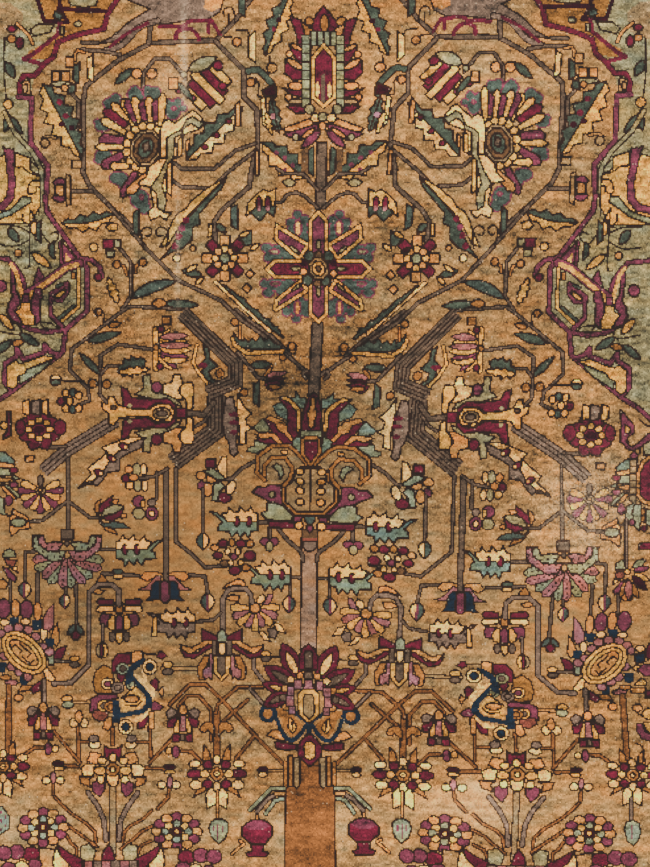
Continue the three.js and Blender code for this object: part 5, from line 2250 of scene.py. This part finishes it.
def edge_places(inset):
    """Middle, outward direction and chart place of every knot along the four cut edges."""
    places = []
    for column in range(COLUMNS):
        x = -RUG_WIDTH_MM / 2 + KNOT_MM * (column + 0.5)
        places.append((x, RUG_LENGTH_MM / 2 - inset, 0, 1, 0, column))
        places.append((x, -RUG_LENGTH_MM / 2 + inset, 0, -1, ROWS - 1, column))
    for row in range(ROWS):
        y = RUG_LENGTH_MM / 2 - KNOT_MM * (row + 0.5)
        places.append((-RUG_WIDTH_MM / 2 + inset, y, -1, 0, row, 0))
        places.append((RUG_WIDTH_MM / 2 - inset, y, 1, 0, row, COLUMNS - 1))
    return np.array(places, float)


def stubs(kind, places, colours, material, rng):
    """Short tapered tufts or thread ends of one kind that stick out of the cut edges."""
    x, y = cut_outline(places[:, 0], places[:, 1])
    away = places[:, 2:4]
    along = np.column_stack([-away[:, 1], away[:, 0]])
    count = len(places)
    out = kind["reach"] * rng.uniform(STUB_SHORTEST_SHARE, 1.0, count)[:, None]
    slide = STUB_SLIDE_MM * rng.normal(0, 1, count)[:, None]
    tip = kind["tip"] + STUB_UNEVEN_MM * rng.normal(0, 1, count)
    root = np.column_stack([x, y])
    corners = []
    for side, level in STUB_CORNERS:
        spot = root - STUB_ROOT_MM * away + side * kind["width"] / ROOT_WIDTH_PART * along
        corners.append(np.column_stack([spot, np.full(count, kind["base"][level])]))
    for side, level in STUB_CORNERS:
        spot = root + away * out + along * (slide + side * kind["width"] / TIP_WIDTH_PART)
        height = tip - (0 if level else STUB_THICKNESS_MM)
        corners.append(np.column_stack([spot, np.maximum(height, LOWEST_TIP_MM)]))
    points = np.stack(corners, 1).reshape(-1, 3)
    faces = (len(corners) * np.arange(count)[:, None, None] + STUB_SIDES[None]).reshape(-1, 4)
    piece = new_piece(kind["name"], points, faces.tolist(), material)
    paint(piece, np.repeat(colours, len(STUB_SIDES), axis=0))
    return piece


def wool_material(name, noise_scale, bump_mm, sheen):
    """Dyed wool: the knot colours with their painted light and shade, broken up by fibres, with a fine
    bump and a soft sheen.
    """
    material = bpy.data.materials.new(name)
    material.use_nodes = True
    nodes, links = material.node_tree.nodes, material.node_tree.links
    shader = nodes["Principled BSDF"]
    dye_and_painted_light_node = nodes.new("ShaderNodeAttribute")
    dye_and_painted_light_node.attribute_name = "dye_and_painted_light"
    place = nodes.new("ShaderNodeTexCoord")
    noise = nodes.new("ShaderNodeTexNoise")
    noise.inputs["Scale"].default_value = noise_scale
    noise.inputs["Detail"].default_value = FIBRE_DETAIL
    links.new(place.outputs["Object"], noise.inputs["Vector"])
    level = nodes.new("ShaderNodeMapRange")
    level.inputs["To Min"].default_value = FIBRE_DARKEST
    level.inputs["To Max"].default_value = FIBRE_LIGHTEST
    links.new(noise.outputs["Fac"], level.inputs["Value"])
    mix = nodes.new("ShaderNodeVectorMath")
    mix.operation = "SCALE"
    links.new(dye_and_painted_light_node.outputs["Color"], mix.inputs[0])
    links.new(level.outputs["Result"], mix.inputs["Scale"])
    links.new(mix.outputs["Vector"], shader.inputs["Base Color"])
    bump = nodes.new("ShaderNodeBump")
    bump.inputs["Strength"].default_value = FIBRE_BUMP
    bump.inputs["Distance"].default_value = bump_mm / 1000
    links.new(noise.outputs["Fac"], bump.inputs["Height"])
    links.new(bump.outputs["Normal"], shader.inputs["Normal"])
    shader.inputs["Roughness"].default_value = WOOL_ROUGHNESS
    shader.inputs["Specular IOR Level"].default_value = WOOL_SPECULAR
    shader.inputs["Sheen Weight"].default_value = sheen
    shader.inputs["Sheen Roughness"].default_value = SHEEN_ROUGHNESS
    shader.inputs["Sheen Tint"].default_value = SHEEN_TINT
    return material


def build_rug(design):
    """All pieces of the cloth, on the one body, in place of the CAD rug, which is hidden."""
    rng = np.random.default_rng(SEED)
    colours = dye_and_painted_light(design, rng)
    pile_wool = wool_material("pile_wool", **PILE_LOOK)
    ground = wool_material("ground_wool_and_cotton", **GROUND_LOOK)
    bands = pile_bands(design, colours, pile_wool, rng)
    weave = ground_weave(colours * BACK_SHADE, ground)
    places = edge_places(STUB_INSET_MM)
    row, column = places[:, 4].astype(int), places[:, 5].astype(int)
    cotton = np.tile(linear(COTTON), (len(places), 1))
    tuft_kind, thread_kind = EDGE_STUBS
    tufts = stubs(tuft_kind, places, linear(colours)[row, column], pile_wool, rng)
    threads = stubs(thread_kind, places, cotton, ground, rng)
    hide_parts("rug")


# The studio, in metres
FLOOR_COLOUR = (0.72, 0.7, 0.67, 1)
FLOOR_ROUGHNESS = 0.9
FLOOR_HALF = 6.0
FLOOR_DROP = 0.0005
LIGHTS = table(
    "name place size power",
    ("key", (1.6, 1.2, 2.4), 1.6, 85),
    ("fill", (-1.8, -0.6, 2.2), 2.2, 36),
)
SKY_COLOUR = (1.0, 0.98, 0.95, 1)
SKY_STRENGTH = 0.75
LENS_MM = 100
VIEW_SHIFT_MM = 1.0
VIEW_CLOSENESS = 0.9985


def build_floor():
    """A plain pale floor under the rug."""
    material = bpy.data.materials.new("floor")
    material.use_nodes = True
    shader = material.node_tree.nodes["Principled BSDF"]
    shader.inputs["Base Color"].default_value = FLOOR_COLOUR
    shader.inputs["Roughness"].default_value = FLOOR_ROUGHNESS
    mesh = bpy.data.meshes.new("floor")
    corners = [(x * FLOOR_HALF, y * FLOOR_HALF, -FLOOR_DROP)
               for x, y in ((-1, -1), (1, -1), (1, 1), (-1, 1))]
    mesh.from_pydata(corners, [], [(0, 1, 2, 3)])
    mesh.materials.append(material)
    floor = bpy.data.objects.new("floor", mesh)
    bpy.context.scene.collection.objects.link(floor)


def build_lights():
    """A broad key from the upper right, a weaker fill and an even sky."""
    for row in LIGHTS:
        data = bpy.data.lights.new(row["name"], "AREA")
        data.size = row["size"]
        data.energy = row["power"]
        light = bpy.data.objects.new(row["name"], data)
        light.location = row["place"]
        light.rotation_euler = (-Vector(row["place"])).to_track_quat("-Z", "Y").to_euler()
        bpy.context.scene.collection.objects.link(light)
    world = bpy.data.worlds.new("studio")
    world.use_nodes = True
    sky = world.node_tree.nodes["Background"]
    sky.inputs["Color"].default_value = SKY_COLOUR
    sky.inputs["Strength"].default_value = SKY_STRENGTH
    bpy.context.scene.world = world


def build_camera():
    """A camera straight above that frames the view of the photograph."""
    data = bpy.data.cameras.new("camera")
    data.lens = LENS_MM
    camera = bpy.data.objects.new("camera", data)
    view_length = PHOTO_HEIGHT * MM_PER_PIXEL / 1000
    distance = VIEW_CLOSENESS * view_length * data.lens / data.sensor_width
    camera.location = (0, VIEW_SHIFT_MM / 1000, distance + (GROUND_MM + PILE_MM) / 1000)
    bpy.context.scene.collection.objects.link(camera)
    bpy.context.scene.camera = camera


build_rug(draw_design())
build_floor()
build_lights()
build_camera()
